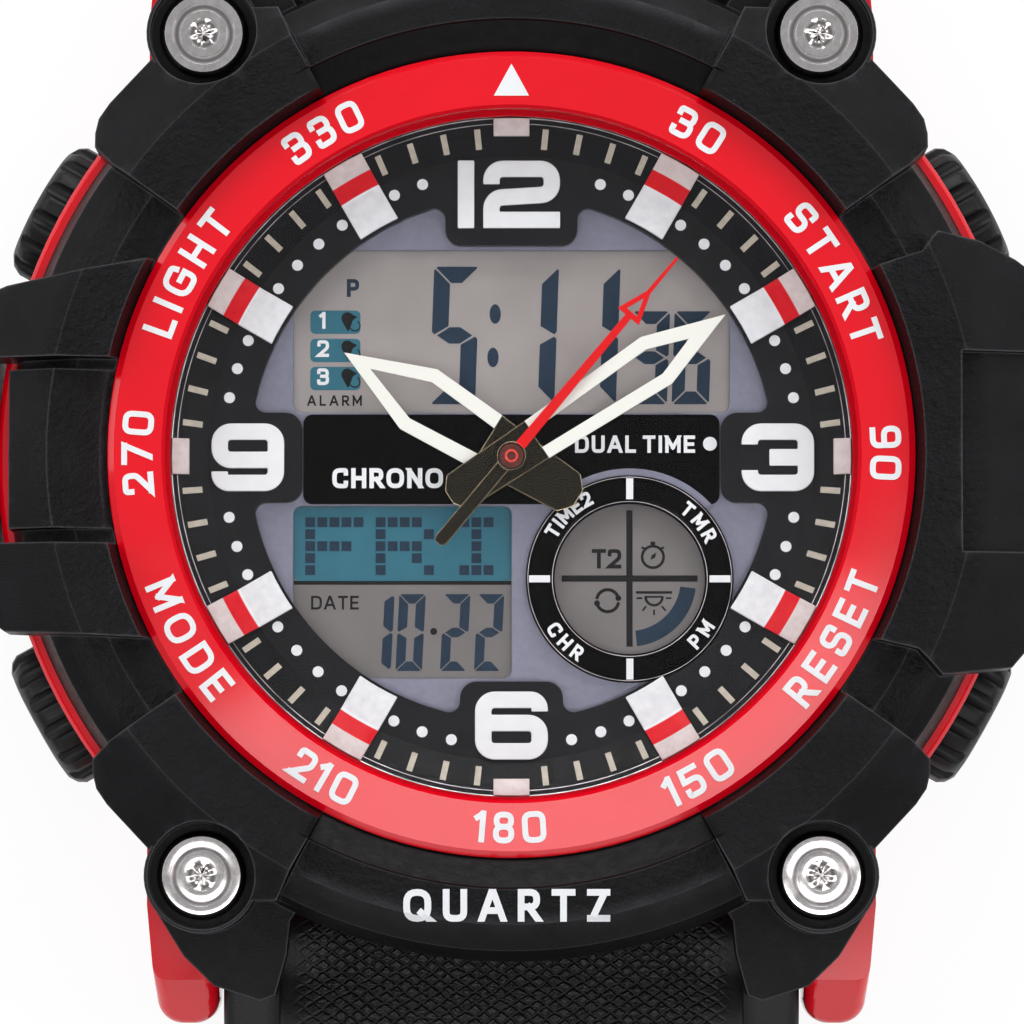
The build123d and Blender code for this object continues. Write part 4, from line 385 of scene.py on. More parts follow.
def leather(tree, shader):
    """Black strap resin: criss-cross leather lines on the raised middle, satin at the edges; the creases are
    painted darker as painted shade and the ridges between them paler as painted highlight.
    """
    across = maths(tree, "ABSOLUTE", axes(tree, position(tree))["X"])
    inside = spread(tree, across, 1, 0, CREASED_HALF * MM, PLAIN_HALF * MM)
    creases = []
    for turn in CREASE_TURNS:
        turned = add_node(tree, "ShaderNodeMapping", {
            "Rotation": (0, 0, math.radians(turn)), "Vector": position(tree),
        }).outputs["Vector"]
        wave = add_node(tree, "ShaderNodeTexWave", {
            "Scale": CREASE_SCALE, "Distortion": 2.6, "Detail": 3.0, "Detail Scale": 1.3, "Vector": turned,
        }, wave_type="BANDS", bands_direction="X")
        creases.append(spread(tree, wave.outputs["Fac"], 0, 1, 0.0, 0.34))
    wrinkle = maths(tree, "ABSOLUTE", maths(tree, "SUBTRACT", noise(tree, WRINKLE, 4.0, 0.6), 0.5))
    lines = maths(tree, "ADD", maths(tree, "MINIMUM", *creases), times(tree, wrinkle, 2.5))
    worked = times(tree, lines, inside)
    # Colour: painted shade in the creases and painted highlight on the ridges between them
    feed(tree, shader, {
        "Base Color": mixed(tree, spread(tree, worked, 0, 1, 0.1, 1.4), LEATHER_DARK, LEATHER_RIDGE_HIGHLIGHT),
        "Roughness": spread(tree, worked, 0.5, 0.3, 0, 1),
        "IOR": 1.45, "Specular IOR Level": 0.5,
    })
    creased = bump(tree, shader, worked, CREASE_DEPTH)
    bump(tree, shader, noise(tree, LEATHER_GRAIN, 3.0), LEATHER_GRAIN_DEPTH, creased)


FLOOR_GLOW, FLOOR_GLOW_SHARE = 1.03, 0.88
FLOOR_CLOUD, FLOOR_DARK, FLOOR_PALE = 60.0, (0.84, 0.84, 0.84), (0.88, 0.88, 0.88)


def floor_white(tree, shader):
    """A pale floor that shows white and still takes soft shadows."""
    cloud = patchy(tree, FLOOR_CLOUD)
    feed(tree, shader, {"Base Color": mixed(tree, cloud, FLOOR_DARK, FLOOR_PALE), "Roughness": 0.8})
    rays = tree.nodes.new("ShaderNodeLightPath").outputs
    seen = rays["Is Camera Ray"]
    for kind in ("Is Glossy Ray", "Is Transmission Ray"):
        seen = maths(tree, "MAXIMUM", seen, rays[kind])
    glow = add_node(tree, "ShaderNodeEmission", {"Strength": FLOOR_GLOW})
    show_mix(tree, times(tree, seen, FLOOR_GLOW_SHARE), shader, glow)


# How each is made, its uneven roughness (size of its patches, least and most), and values of its own: a
# hand's colour, where that starts, and the angle it points at
HOUR_ANGLE, MINUTE_ANGLE, SECOND_ANGLE = 302.0, 56.4, 39.9
for name, make, roughness, *values in (
    ("chrome_turned", chrome, (0.7, 0.06, 0.13)),
    ("display_grey", display, (1.2, 0.34, 0.44)),
    ("shell_resin", shell_resin, (0.6, 0.30, 0.46)),
    ("marker_bands", markers, (0.4, 0.25, 0.4)),
    ("hour_hand_paint", hand, (0.6, 0.2, 0.24), CREAM, 1.62, HOUR_ANGLE),
    ("minute_hand_paint", hand, (0.6, 0.2, 0.24), CREAM, 1.66, MINUTE_ANGLE),
    ("second_hand_paint", hand, (0.6, 0.2, 0.24), HAND_RED, 0.74, SECOND_ANGLE),
    ("crystal_glass", crystal, (8.0, 0.0, 0.015)),
    ("strap_leather", leather, None),
    ("floor_white", floor_white, None),
):
    paints[name], tree, shader = new_material(name)
    if roughness:
        feed(tree, shader, {"Roughness": patchy(tree, *roughness)})
    make(tree, shader, *values)

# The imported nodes' materials; a node that isn't here is brass
NODE_PAINTS = {
    "red_gloss": "case_body bezel_ring",
    "shell_resin": "bezel_shell",
    "crystal_glass": "crystal",
    "dial_black": "chapter_ring",
    "marker_bands": "hour_markers",
    "print_white": "hour_numerals",
    "dial_grey": "dial_plate",
    "glossy_black": "dial_crossbar subdial_ring",
    "display_grey": "lcd_panel",
    "hour_hand_paint": "hour_hand",
    "minute_hand_paint": "minute_hand",
    "second_hand_paint": "second_hand",
    "chrome_turned": "lug_screws",
    "steel": "buckle_frame buckle_prong buckle_bar case_back case_back_screws spring_bar_upper "
             "spring_bar_lower battery battery_clip contact_springs stator rotor",
    "copper": "coil",
    "board_green": "circuit_board",
    "module_resin": "module_frame",
    "lamp_white": "backlight_led",
    "seal_rubber": "connector_strips crystal_gasket back_gasket pusher_seals",
}
paint_names = {node: paint for paint, listed in NODE_PAINTS.items() for node in listed.split()}
for name, thing in nodes.items():
    if name in paint_names:
        paint = paints[paint_names[name]]
    elif name.startswith(("pusher_clip", "pusher_spring")):
        paint = paints["steel"]
    elif name.startswith("pusher_"):
        paint = paints["pusher_black"]
    else:
        paint = paints["brass"]
    if not thing.material_slots:
        thing.data.materials.append(paint)
    for place in thing.material_slots:
        place.material = paint

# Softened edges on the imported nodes; the marked ring keeps its smooth slopes as they are
EDGE_WIDTHS = {
    0.03: "hour_hand minute_hand second_hand",
    0.04: "case_back_screws",
    0.05: "hour_markers hour_numerals lug_screws dial_plate",
    0.06: "dial_crossbar pusher_start pusher_light pusher_mode pusher_reset",
    0.1: "case_back",
    0.12: "case_body",
    0.14: "chapter_ring",
    0.15: "buckle_prong",
    0.2: "bezel_shell crystal",
    0.25: "buckle_frame",
    0.3: "subdial_ring",
}
WELD_REACH = 0.002
SHARP_ANGLE = math.radians(32)


def soften(thing, width_mm):
    """Joins a node's corners and rounds its sharp edges."""
    weld = thing.modifiers.new("weld", "WELD")
    weld.merge_threshold = WELD_REACH * MM
    bevel = thing.modifiers.new("bevel", "BEVEL")
    bevel.width = width_mm * MM
    bevel.segments = 2
    bevel.limit_method = "ANGLE"
    bevel.angle_limit = SHARP_ANGLE
    even = thing.modifiers.new("even_shading", "WEIGHTED_NORMAL")
    even.keep_sharp = True


for width, listed in EDGE_WIDTHS.items():
    for name in listed.split():
        soften(nodes[name], width)


# Camera, floor and light

def add_to_scene(name, data):
    """A new object in the scene."""
    made = bpy.data.objects.new(name, data)
    bpy.context.scene.collection.objects.link(made)
    return made


def object_from(name, verts, faces, paint):
    """A mesh object from points in metres."""
    mesh = bpy.data.meshes.new(name)
    mesh.from_pydata(verts, [], faces)
    mesh.materials.append(paint)
    mesh.update()
    return add_to_scene(name, mesh)


TARGET = Vector((0.03, -3.2, 15.3)) * MM
DISTANCE = 360 * MM
TILT = math.radians(86.5)
VIEW_WIDTH = 55.15 * MM
SENSOR = 36
NEAR, FAR = 0.01, 10

camera = add_to_scene("camera", bpy.data.cameras.new("camera"))
back = Vector((0, -math.cos(TILT), math.sin(TILT)))
camera.location = TARGET + back * DISTANCE
camera.rotation_mode = "QUATERNION"
camera.rotation_quaternion = (-back).to_track_quat("-Z", "Y")
camera.data.sensor_width = SENSOR
camera.data.lens = SENSOR * DISTANCE / VIEW_WIDTH
camera.data.clip_start = NEAR
camera.data.clip_end = FAR
bpy.context.scene.camera = camera

FLOOR_HALF, FLOOR_Z = 2.0, -0.05 * MM
FLOOR_CORNERS = ((-1, -1), (1, -1), (1, 1), (-1, 1))
floor_verts = [(x * FLOOR_HALF, y * FLOOR_HALF, FLOOR_Z) for x, y in FLOOR_CORNERS]
object_from("floor", floor_verts, [(0, 1, 2, 3)], paints["floor_white"])

SKY_LOW, SKY_HIGH = 0.12, 0.45
SKY_START, SKY_END = 0.22, 0.42
bpy.context.scene.view_settings.view_transform = "Standard"
world = bpy.data.worlds.new("world")
bpy.context.scene.world = world
world.use_nodes = True
sky = world.node_tree
upward = axes(sky, sky.nodes.new("ShaderNodeTexCoord").outputs["Generated"])["Z"]
feed(sky, sky.nodes["Background"], {
    "Strength": spread(sky, upward, SKY_LOW, SKY_HIGH, SKY_START, SKY_END), "Color": (0.97, 0.98, 1.0, 1),
})

# Rectangular studio lamps that face the watch: place, width and height in metres, and power
SOFTBOXES = {
    "key_left": ((-0.52, 0.22, 0.40), 0.5, 0.5, 1.3),
    "fill_right": ((0.56, 0.10, 0.38), 0.4, 0.5, 1.0),
    "top_back": ((0.05, 0.66, 0.42), 0.8, 0.3, 3.0),
    "front_low": ((0.0, -0.62, 0.30), 0.6, 0.25, 0.5),
    "front_high": ((0.03, -0.165, 0.88), 0.70, 0.26, 1.9),
}
for name, (place, width, height, power) in SOFTBOXES.items():
    lamp = add_to_scene(name, bpy.data.lights.new(name, "AREA"))
    lamp.data.shape = "RECTANGLE"
    lamp.data.size = width
    lamp.data.size_y = height
    lamp.data.energy = power
    lamp.location = place
    lamp.rotation_mode = "QUATERNION"
    lamp.rotation_quaternion = (Vector(place) - TARGET).to_track_quat("Z", "Y")


# Printed marks: ribbons, plates and discs a few hundredths of a millimetre thick

BEND_STEPS = 5
MOST_OF_HALF = 0.499


def rounded(points, radius):
    """A line of points with its inner corners turned into arcs; a point's third value is its own radius."""
    closed = points[0][:2] == points[-1][:2]
    corners = [Vector(p[:2]) for p in points]
    if len(points) == 2:
        return corners, False
    radii = [p[2] if len(p) > 2 else radius for p in points]
    if closed:
        corners = corners[:-1]
    count = len(corners)
    path = []
    for i, corner in enumerate(corners):
        if not closed and i in (0, count - 1):
            path.append(corner)
            continue
        before = corners[i - 1] - corner
        after = corners[(i + 1) % count] - corner
        reach = radii[i] / math.tan(before.angle(after) / 2)
        reach = min(reach, MOST_OF_HALF * before.length, MOST_OF_HALF * after.length)
        start = corner + before.normalized() * reach
        end = corner + after.normalized() * reach
        for k in range(BEND_STEPS + 1):
            t = k / BEND_STEPS
            path.append((1 - t) ** 2 * start + 2 * t * (1 - t) * corner + t ** 2 * end)
    return path, closed


def on_circle(centre, radius, degrees):
    """A place on a circle; the angle is anticlockwise from 3 o'clock."""
    turn = math.radians(degrees)
    return centre[0] + radius * math.cos(turn), centre[1] + radius * math.sin(turn)


class Print:
    """Flat marks in one colour, laid on a surface whose height at a place is given by a function."""

    SINK = 0.01
    LAYER_LIFT, LAYERS = 0.0015, 4
    LEVEL_REACH, LEAST_ACROSS, LEAST_UP = 1e-6, 0.15, 0.3
    LEAST_MITRE = 0.5

    def __init__(self, name, paint, height, rise=0.03, body="case", slot="marker_white", pieces=1):
        self.name = name
        self.slot = slot
        self.pieces = pieces
        self.paint = paints[paint]
        self.height = height if callable(height) else (lambda x, y: height)
        self.rise = rise
        self.body = body
        self.layer = 0
        self.verts = []
        self.faces = []

    def solid(self, left, right, closed=False):
        """A thin prism between two lines of the same number of points."""
        self.layer += 1
        lift = self.rise + self.LAYER_LIFT * (self.layer % self.LAYERS)
        start = len(self.verts)
        count = len(left)
        for above in (-self.SINK, lift):
            for x, y in (*left, *right):
                self.verts.append((x * MM, y * MM, (self.height(x, y) + above) * MM))
        bottom_left, bottom_right, top_left, top_right = (start + k * count for k in range(4))
        for i in range(count if closed else count - 1):
            j = (i + 1) % count
            walls = (top_left, bottom_left), (bottom_right, top_right)
            for a, b in ((top_right, top_left), (bottom_left, bottom_right), *walls):
                self.faces.append((a + i, a + j, b + j, b + i))
        if not closed:
            self.faces.append((top_left, bottom_left, bottom_right, top_right))
            end = count - 1
            self.faces.append((top_right + end, bottom_right + end, bottom_left + end, top_left + end))

    def stroke(self, points, width, place, radius=0.0, levels=()):
        """A ribbon of even width along a line of points, with ends half a width beyond it.

        The ends are square, or level where a slanting line ends at one of the given levels.
        """
        path, closed = rounded(points, radius)
        if self.pieces > 1 and len(path) == 2:
            path = [path[0].lerp(path[1], k / self.pieces) for k in range(self.pieces + 1)]
        count = len(path)
        edges = []
        for i, point in enumerate(path):
            before = point - path[i - 1] if closed or i else path[1] - path[0]
            after = path[(i + 1) % count] - point if closed or i < count - 1 else point - path[i - 1]
            first = before.normalized()
            along = (first + after.normalized()).normalized()
            across = Vector((-along.y, along.x)) * (width / 2) / max(self.LEAST_MITRE, along.dot(first))
            if not closed and i in (0, count - 1):
                out = -first if i == 0 else first
                at_level = any(abs(level - point.y) < self.LEVEL_REACH for level in levels)
                if at_level and abs(out.x) > self.LEAST_ACROSS and abs(out.y) > self.LEAST_UP:
                    reach = width / 2 / abs(out.y)
                    across = Vector((math.copysign(reach, across.x), 0))
                    point = point + out * reach
                else:
                    point = point + out * width / 2
            edges.append((place(*(point + across)), place(*(point - across))))
        self.solid([edge[0] for edge in edges], [edge[1] for edge in edges], closed)

    def plate(self, points, centre=(0, 0)):
        """A plate with a convex outline, given anticlockwise about a centre."""
        path = [(centre[0] + x, centre[1] + y) for x, y in points]
        half = len(path) // 2
        odd = len(path) % 2
        self.solid(list(reversed(path[half:])), path[:half + odd])

    def bar(self, x_low, y_low, x_high, y_high, centre=(0, 0)):
        """A rectangular plate."""
        self.plate([(x_low, y_low), (x_high, y_low), (x_high, y_high), (x_low, y_high)], centre)

    def disc(self, centre, radius, sides=20):
        """A round dot."""
        self.plate([on_circle(centre, radius, 360 * k / sides) for k in range(sides)])

    def arc(self, centre, radius, width, start, end, sides=24):
        """A ring or part of one; angles in degrees, anticlockwise from 3 o'clock."""
        closed = end - start >= 360
        turns = [start + (end - start) * k / sides for k in range(sides if closed else sides + 1)]
        inner = [on_circle(centre, radius - width / 2, turn) for turn in turns]
        outer = [on_circle(centre, radius + width / 2, turn) for turn in turns]
        self.solid(inner, outer, closed)

    def word(self, letters, height, stroke, place, gap):
        """A line of letters centred on the place function's origin."""
        line = height - stroke
        widths = [GLYPHS[letter][0] * line for letter in letters]
        total = sum(widths) + (gap + stroke) * (len(letters) - 1)
        along = -total / 2
        for letter, width in zip(letters, widths):
            for points in GLYPHS[letter][1]:
                scaled = [(p[0] * line, p[1] * line, *(r * line for r in p[2:])) for p in points]
                self.stroke(
                    scaled, stroke,
                    lambda x, y, shift=along, span=width: place(shift, span, x, y - line / 2),
                    CORNER * line,
                    (0, line),
                )
            along += width + gap + stroke

    def marks(self, rows):
        """Marks in rows: the kind of mark and its values, as the methods above take them."""
        for kind, *values in rows:
            getattr(self, kind)(*values)

    def done(self):
        """Makes the object, which rides on its body."""
        made = object_from(self.name, self.verts, self.faces, self.paint)
        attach(made, self.body)


def straight(centre):
    """Letters in a straight line about a centre."""
    return lambda shift, span, x, y: (centre[0] + shift + x, centre[1] + y)


def about(centre):
    """Points given from a centre."""
    return lambda x, y: (centre[0] + x, centre[1] + y)


def around(degrees, radius, centre=(0, 0), outward=True):
    """Letters one by one along an arc; the angle is clockwise from 12 o'clock."""
    side = 1 if outward else -1

    def place(shift, span, x, y):
        turn = math.radians(degrees) + side * (shift + span / 2) / radius
        out = Vector((math.sin(turn), math.cos(turn)))
        along = Vector((out.y, -out.x)) * side
        spot = Vector(centre) + out * radius + along * (x - span / 2) + out * side * y
        return spot.x, spot.y

    return place


def spoke(degrees, half_width, start, end, centre=(0, 0)):
    """Corners of a bar that points away from a centre; the angle is clockwise from 12 o'clock."""
    turn = math.radians(degrees)
    out = Vector((math.sin(turn), math.cos(turn)))
    side = Vector((math.cos(turn), -math.sin(turn)))
    corners = ((-half_width, end), (half_width, end), (half_width, start), (-half_width, start))
    return [tuple(Vector(centre) + out * reach + side * across) for across, reach in corners]


# Letters and numbers as strokes in a box of height 1, each with its width
CORNER = 0.26
GLYPHS = {
    "A": (0.80, [[(0, 0), (0.36, 1)], [(0.44, 1), (0.80, 0)], [(0.16, 0.30), (0.64, 0.30)]]),
    "C": (0.72, [[(0.72, 0.80), (0.72, 1, 0.36), (0, 1, 0.4), (0, 0, 0.4), (0.72, 0, 0.36), (0.72, 0.20)]]),
    "D": (0.74, [[(0, 0), (0, 1)], [(0, 1), (0.74, 1, 0.42), (0.74, 0, 0.42), (0, 0)]]),
    "E": (0.56, [[(0, 0), (0, 1)], [(0, 1), (0.56, 1)], [(0, 0.5), (0.50, 0.5)], [(0, 0), (0.56, 0)]]),
    "G": (0.84, [[(0.78, 0.82), (0.74, 1, 0.34), (0, 1, 0.46), (0, 0, 0.46), (0.84, 0, 0.42), (0.84, 0.5)],
                 [(0.84, 0.5), (0.46, 0.5)]]),
    "H": (0.68, [[(0, 0), (0, 1)], [(0.68, 0), (0.68, 1)], [(0, 0.5), (0.68, 0.5)]]),
    "I": (0.0, [[(0, 0), (0, 1)]]),
    "L": (0.52, [[(0, 1), (0, 0)], [(0, 0), (0.52, 0)]]),
    "M": (0.86, [[(0, 0), (0, 1)], [(0, 1), (0.43, 0.25)], [(0.43, 0.25), (0.86, 1)],
                 [(0.86, 1), (0.86, 0)]]),
    "N": (0.68, [[(0, 0), (0, 1)], [(0, 1), (0.68, 0)], [(0.68, 0), (0.68, 1)]]),
    "O": (0.84, [[(0, 0, 0.42), (0, 1, 0.42), (0.84, 1, 0.42), (0.84, 0, 0.42), (0, 0, 0.42)]]),
    "P": (0.60, [[(0, 0), (0, 1)], [(0, 1), (0.60, 1), (0.60, 0.44), (0, 0.44)]]),
    "Q": (0.82, [[(0, 0, 0.4), (0, 1, 0.4), (0.82, 1, 0.4), (0.82, 0, 0.4), (0, 0, 0.4)],
                 [(0.56, 0.22), (0.82, 0)]]),
    "R": (0.60, [[(0, 0), (0, 1)], [(0, 1), (0.60, 1), (0.60, 0.44), (0, 0.44)], [(0.30, 0.44), (0.62, 0)]]),
    "S": (0.66, [[(0.66, 0.80), (0.66, 1), (0, 1), (0, 0.51), (0.66, 0.51), (0.66, 0), (0, 0), (0, 0.20)]]),
    "T": (0.66, [[(0, 1), (0.66, 1)], [(0.33, 1), (0.33, 0)]]),
    "U": (0.68, [[(0, 1), (0, 0), (0.68, 0), (0.68, 1)]]),
    "Z": (0.64, [[(0, 1), (0.64, 1)], [(0.56, 1), (0.08, 0)], [(0, 0), (0.64, 0)]]),
    "0": (0.70, [[(0, 0), (0, 1), (0.70, 1), (0.70, 0), (0, 0)]]),
    "1": (0.10, [[(0.10, 0), (0.10, 1)], [(0.06, 0.98), (-0.12, 0.84)]]),
    "2": (0.62, [[(0, 0.78), (0, 1), (0.62, 1), (0.62, 0.56), (0, 0)], [(0, 0), (0.62, 0)]]),
    "3": (0.64, [[(0, 0.82), (0, 1), (0.62, 1), (0.62, 0.53), (0.22, 0.53)],
                 [(0.22, 0.53), (0.64, 0.53), (0.64, 0), (0, 0), (0, 0.18)]]),
    "5": (0.64, [[(0.60, 1), (0.04, 1)], [(0.04, 1), (0, 0.58)],
                 [(0, 0.58), (0.64, 0.58), (0.64, 0), (0, 0), (0, 0.18)]]),
    "7": (0.64, [[(0, 1), (0.64, 1)], [(0.64, 1), (0.22, 0)]]),
    "8": (0.60, [[(0.02, 0.53), (0.02, 1), (0.58, 1), (0.58, 0.53), (0.02, 0.53)],
                 [(0, 0), (0, 0.53), (0.60, 0.53), (0.60, 0), (0, 0)]]),
    "9": (0.64, [[(0.04, 0), (0.64, 0), (0.64, 1), (0, 1), (0, 0.44), (0.64, 0.44)]]),
}

# Marked ring: each word, its angle clockwise from 12 o'clock, and whether it reads outwards
RING_TOP = top_of("bezel_ring")
RING_MIDDLE = 20.18
RING_CREST, RING_EDGE, RING_FALL = 18.88, 21.45, 0.18
RING_LETTER, RING_STROKE, NUMBER_GAP, WORD_GAP = 1.7, 0.31, 0.42, 0.52
RING_WORDS = (
    ("30", 30, True), ("START", 61, True), ("90", 90, True), ("RESET", 120, False), ("150", 150, False),
    ("180", 180, False), ("210", 210, False), ("MODE", 240, False), ("270", 270, True), ("LIGHT", 299, True),
    ("330", 329.7, True),
)
ARROW_HALF, ARROW_FOOT, ARROW_TIP = 0.95, 19.35, 21.1
RING_RISE = 0.035


def ring_height(x, y):
    """Height of the marked ring's top, which falls a little outwards."""
    share = (math.hypot(x, y) - RING_CREST) / (RING_EDGE - RING_CREST)
    return RING_TOP - RING_FALL * min(1.0, max(0.0, share))


ring_print = Print("ring_numbers", "print_white", ring_height, RING_RISE)
for word, degrees, outward in RING_WORDS:
    gap = NUMBER_GAP if word.isdigit() else WORD_GAP
    ring_print.word(word, RING_LETTER, RING_STROKE, around(degrees, RING_MIDDLE, outward=outward), gap)
ring_print.plate([(-ARROW_HALF, ARROW_FOOT), (ARROW_HALF, ARROW_FOOT), (0.0, ARROW_TIP)])
ring_print.done()

# Chapter ring: dots on its flat part, ticks on its sloping part
CHAPTER_FLAT = 11.3
SLOPE_START, SLOPE_END = 16.5, 18.5
SLOPE = (top_of("chapter_ring") - CHAPTER_FLAT) / (SLOPE_END - SLOPE_START)
TICK_HALF, TICK_START, TICK_END = 0.165, 16.9, 17.95
DOT_REACH, DOT_RADIUS = 15.7, 0.3
HIDDEN_AT_12 = (1, 2, 58, 59)


def chapter_height(x, y):
    """Height of the chapter ring's surface at a place."""
    return CHAPTER_FLAT + SLOPE * max(0.0, math.hypot(x, y) - SLOPE_START)


dots = Print("minute_dots", "dot_white", chapter_height)
ticks = Print("minute_ticks", "tick_tan", chapter_height)
for minute in range(60):
    if minute % 5:
        ticks.plate(spoke(6 * minute, TICK_HALF, TICK_START, TICK_END))
        from_quarter = min(minute % 15, 15 - minute % 15)
        if from_quarter > (2 if minute in HIDDEN_AT_12 else 1):
            dots.disc(on_circle((0, 0), DOT_REACH, 90 - 6 * minute), DOT_RADIUS)
dots.done()
ticks.done()

# Displays: dark segments and coloured fields just above the LCD panel
LCD_LEVEL = top_of("lcd_panel")
SEGMENTS = {"0": "abcdef", "1": "bc", "2": "abged", "3": "abgcd", "5": "afgcd", "6": "afgedc"}
TRIM_SHARE, POINT_SHARE, KNEE_SHARE = 0.16, 0.25, 0.15


def segment_digit(marks, digit, left, foot, width, height, bar, slant, gap):
    """One seven-segment digit, leaning a little, from its lower left corner."""
    middle, trim = height / 2, TRIM_SHARE * bar
    inner, knee, point = width - gap - bar, KNEE_SHARE * bar, POINT_SHARE * bar
    top = [
        (gap + trim, height), (gap + trim / 2, height - trim / 2), (gap + bar, height - bar),
        (inner, height - bar), (width - gap - trim / 2, height - trim / 2), (width - gap - trim, height),
    ]
    upper = [
        (0, height - gap - trim), (0, middle + gap + trim), (knee, middle + gap),
        (bar, middle + bar / 2 + gap), (bar, height - bar - gap), (trim / 2, height - gap - trim / 2),
    ]
    lower = [(x, height - y) for x, y in upper[1::-1] + upper[:1:-1]]
    parts = {
        "a": top,
        "d": [(x, height - y) for x, y in top[:1] + top[:0:-1]],
        "g": [
            (gap + point, middle), (gap + bar, middle - bar / 2), (inner, middle - bar / 2),
            (width - gap - point, middle), (inner, middle + bar / 2), (gap + bar, middle + bar / 2),
        ],
        "f": upper,
        "e": lower,
        "b": [(width - x, y) for x, y in reversed(upper)],
        "c": [(width - x, y) for x, y in reversed(lower)],
    }
    for part in SEGMENTS[digit]:
        marks.plate([(left + x + slant * y, foot + y) for x, y in parts[part]])


def field(marks, x_low, y_low, x_high, y_high, corner):
    """A plate with rounded corners."""
    points = []
    for x, y, start in (
        (x_high - corner, y_high - corner, 0), (x_low + corner, y_high - corner, 90),
        (x_low + corner, y_low + corner, 180), (x_high - corner, y_low + corner, 270),
    ):
        points += [on_circle((x, y), corner, start + 22.5 * k) for k in range(5)]
    marks.plate(points)


# Digits of three sizes: foot, width, height, bar, slant and gap
HOUR_SIZE = (3.01, 2.50, 7.55, 0.90, 0.035, 0.06)
SECOND_SIZE = (3.01, 2.05, 5.1, 0.70, 0.035, 0.06)
DATE_FOOT, DATE_SLANT = -11.58, 0.05
DATE_SIZE = (DATE_FOOT, 1.45, 4.2, 0.52, DATE_SLANT, 0.04)
COLON, COLON_HALF, COLON_TALL = ((-0.89, 7.96), (-1.01, 5.58)), 0.31, 0.54
DATE_ONE_LEFT, DATE_ONE_FEET = -7.12, (-9.40, -11.42)
DATE_ONE = ((0.0, 0.28), (0.42, -0.06), (0.54, 0.06), (0.54, 1.82), (0.42, 1.92), (0.0, 1.62))
SUB = (6.44, -6.60)
FILLED_REACH, FILLED_WIDTH, FILLED_START, FILLED_END = 3.22, 0.85, -83.5, -7.5

MARK_RISE, FIELD_RISE, OVER_FIELD_RISE = 0.012, 0.006, 0.014

navy = Print("display_digits", "lcd_navy", LCD_LEVEL, MARK_RISE, slot="display")
for digit, left in (("5", -4.49), ("1", -0.16), ("1", 3.21)):
    segment_digit(navy, digit, left, *HOUR_SIZE)
for digit, left in (("3", 6.45), ("6", 8.75)):
    segment_digit(navy, digit, left, *SECOND_SIZE)
for centre in COLON:
    turns = [2 * math.pi * k / 20 for k in range(20)]
    navy.plate([(COLON_HALF * math.cos(a), COLON_TALL * math.sin(a)) for a in turns], centre)
for digit, left in (("0", -6.33), ("2", -3.90), ("2", -2.05)):
    segment_digit(navy, digit, left, *DATE_SIZE)
for foot in DATE_ONE_FEET:
    navy.plate([(DATE_ONE_LEFT + x + DATE_SLANT * (foot + y - DATE_FOOT), foot + y) for x, y in DATE_ONE])
navy.word("P", 0.98, 0.21, straight((-8.67, 9.39)), 0.2)
navy.arc(SUB, FILLED_REACH, FILLED_WIDTH, FILLED_START, FILLED_END)
navy.done()

FIELD_LEFT, FIELD_RIGHT = -11.88, 0.04
DAY_FOOT, DAY_TOP, RULE_FOOT = -6.66, -2.62, -6.87
WATCH, CYCLE, LAMP = about(SUB)(1.28, 1.25), about(SUB)(-1.19, -1.14), about(SUB)(1.34, -0.93)
LAMP_LINES = (
    [(-0.46, 0), (0.46, 0)], [(-0.9, -0.07), (-0.7, -0.07)], [(0.7, -0.07), (0.9, -0.07)],
    [(0, -0.75), (0, -0.95)], [(-0.46, -0.55), (-0.6, -0.72)], [(0.46, -0.55), (0.6, -0.72)],
)

# The windows' words, then the round window's cross, stopwatch, cycle and lamp
black = Print("display_words", "lcd_black", LCD_LEVEL, MARK_RISE, slot="display")
black.marks((
    ("word", "ALARM", 0.57, 0.10, straight((-9.67, 3.21)), 0.20),
    ("word", "DATE", 0.75, 0.12, straight((-9.63, -7.85)), 0.13),
    ("disc", (-4.24, -9.42), 0.19),
    ("bar", FIELD_LEFT, RULE_FOOT, FIELD_RIGHT, DAY_FOOT),
    ("bar", -3.7, -0.10, 3.72, 0.24, SUB),
    ("bar", -0.17, -3.65, 0.17, 3.8, SUB),
    ("word", "T2", 1.06, 0.21, straight(about(SUB)(-1.25, 1.15)), 0.10),
    ("arc", WATCH, 0.59, 0.15, 0, 360),
    ("bar", -0.13, 0.66, 0.13, 0.84, WATCH),
    *(("stroke", [(side * 0.42, 0.44), (side * 0.56, 0.50)], 0.12, about(WATCH)) for side in (-1, 1)),
    ("plate", ((-0.13, -0.16), (0.11, -0.05), (0.2, 0.24), (-0.06, 0.1)), WATCH),
    ("arc", CYCLE, 0.60, 0.18, 15, 172),
    ("arc", CYCLE, 0.60, 0.18, 195, 352),
    ("disc", about(CYCLE)(0.58, 0.14), 0.16),
    ("disc", about(CYCLE)(-0.58, -0.14), 0.16),
    ("stroke", [(-0.92, 0.24), (0.92, 0.24)], 0.14, about(LAMP)),
    ("arc", LAMP, 0.46, 0.14, 180, 360),
    *(("stroke", line, 0.1, about(LAMP)) for line in LAMP_LINES),
))

# Alarm rows: a coloured field, its number and a bell
ALARM_ROWS = (("1", 6.87), ("2", 5.32), ("3", 3.78))
ALARM_LEFT, ALARM_RIGHT, ALARM_HEIGHT, ALARM_CORNER, DAY_CORNER = -11.0, -8.26, 1.28, 0.26, 0.3
NUMBER_X, NUMBER_RISE, BELL_X, BELL_RISE, BELL_RADIUS = -10.3, 0.74, -8.98, 0.86, 0.33
BELL_PLATES = (
    ((-0.3, -0.14), (0.02, -0.72), (0.14, -0.62), (0.3, -0.1)),
    ((0.1, -0.3), (0.42, -0.02), (0.56, 0.06), (0.25, 0.22)),
)

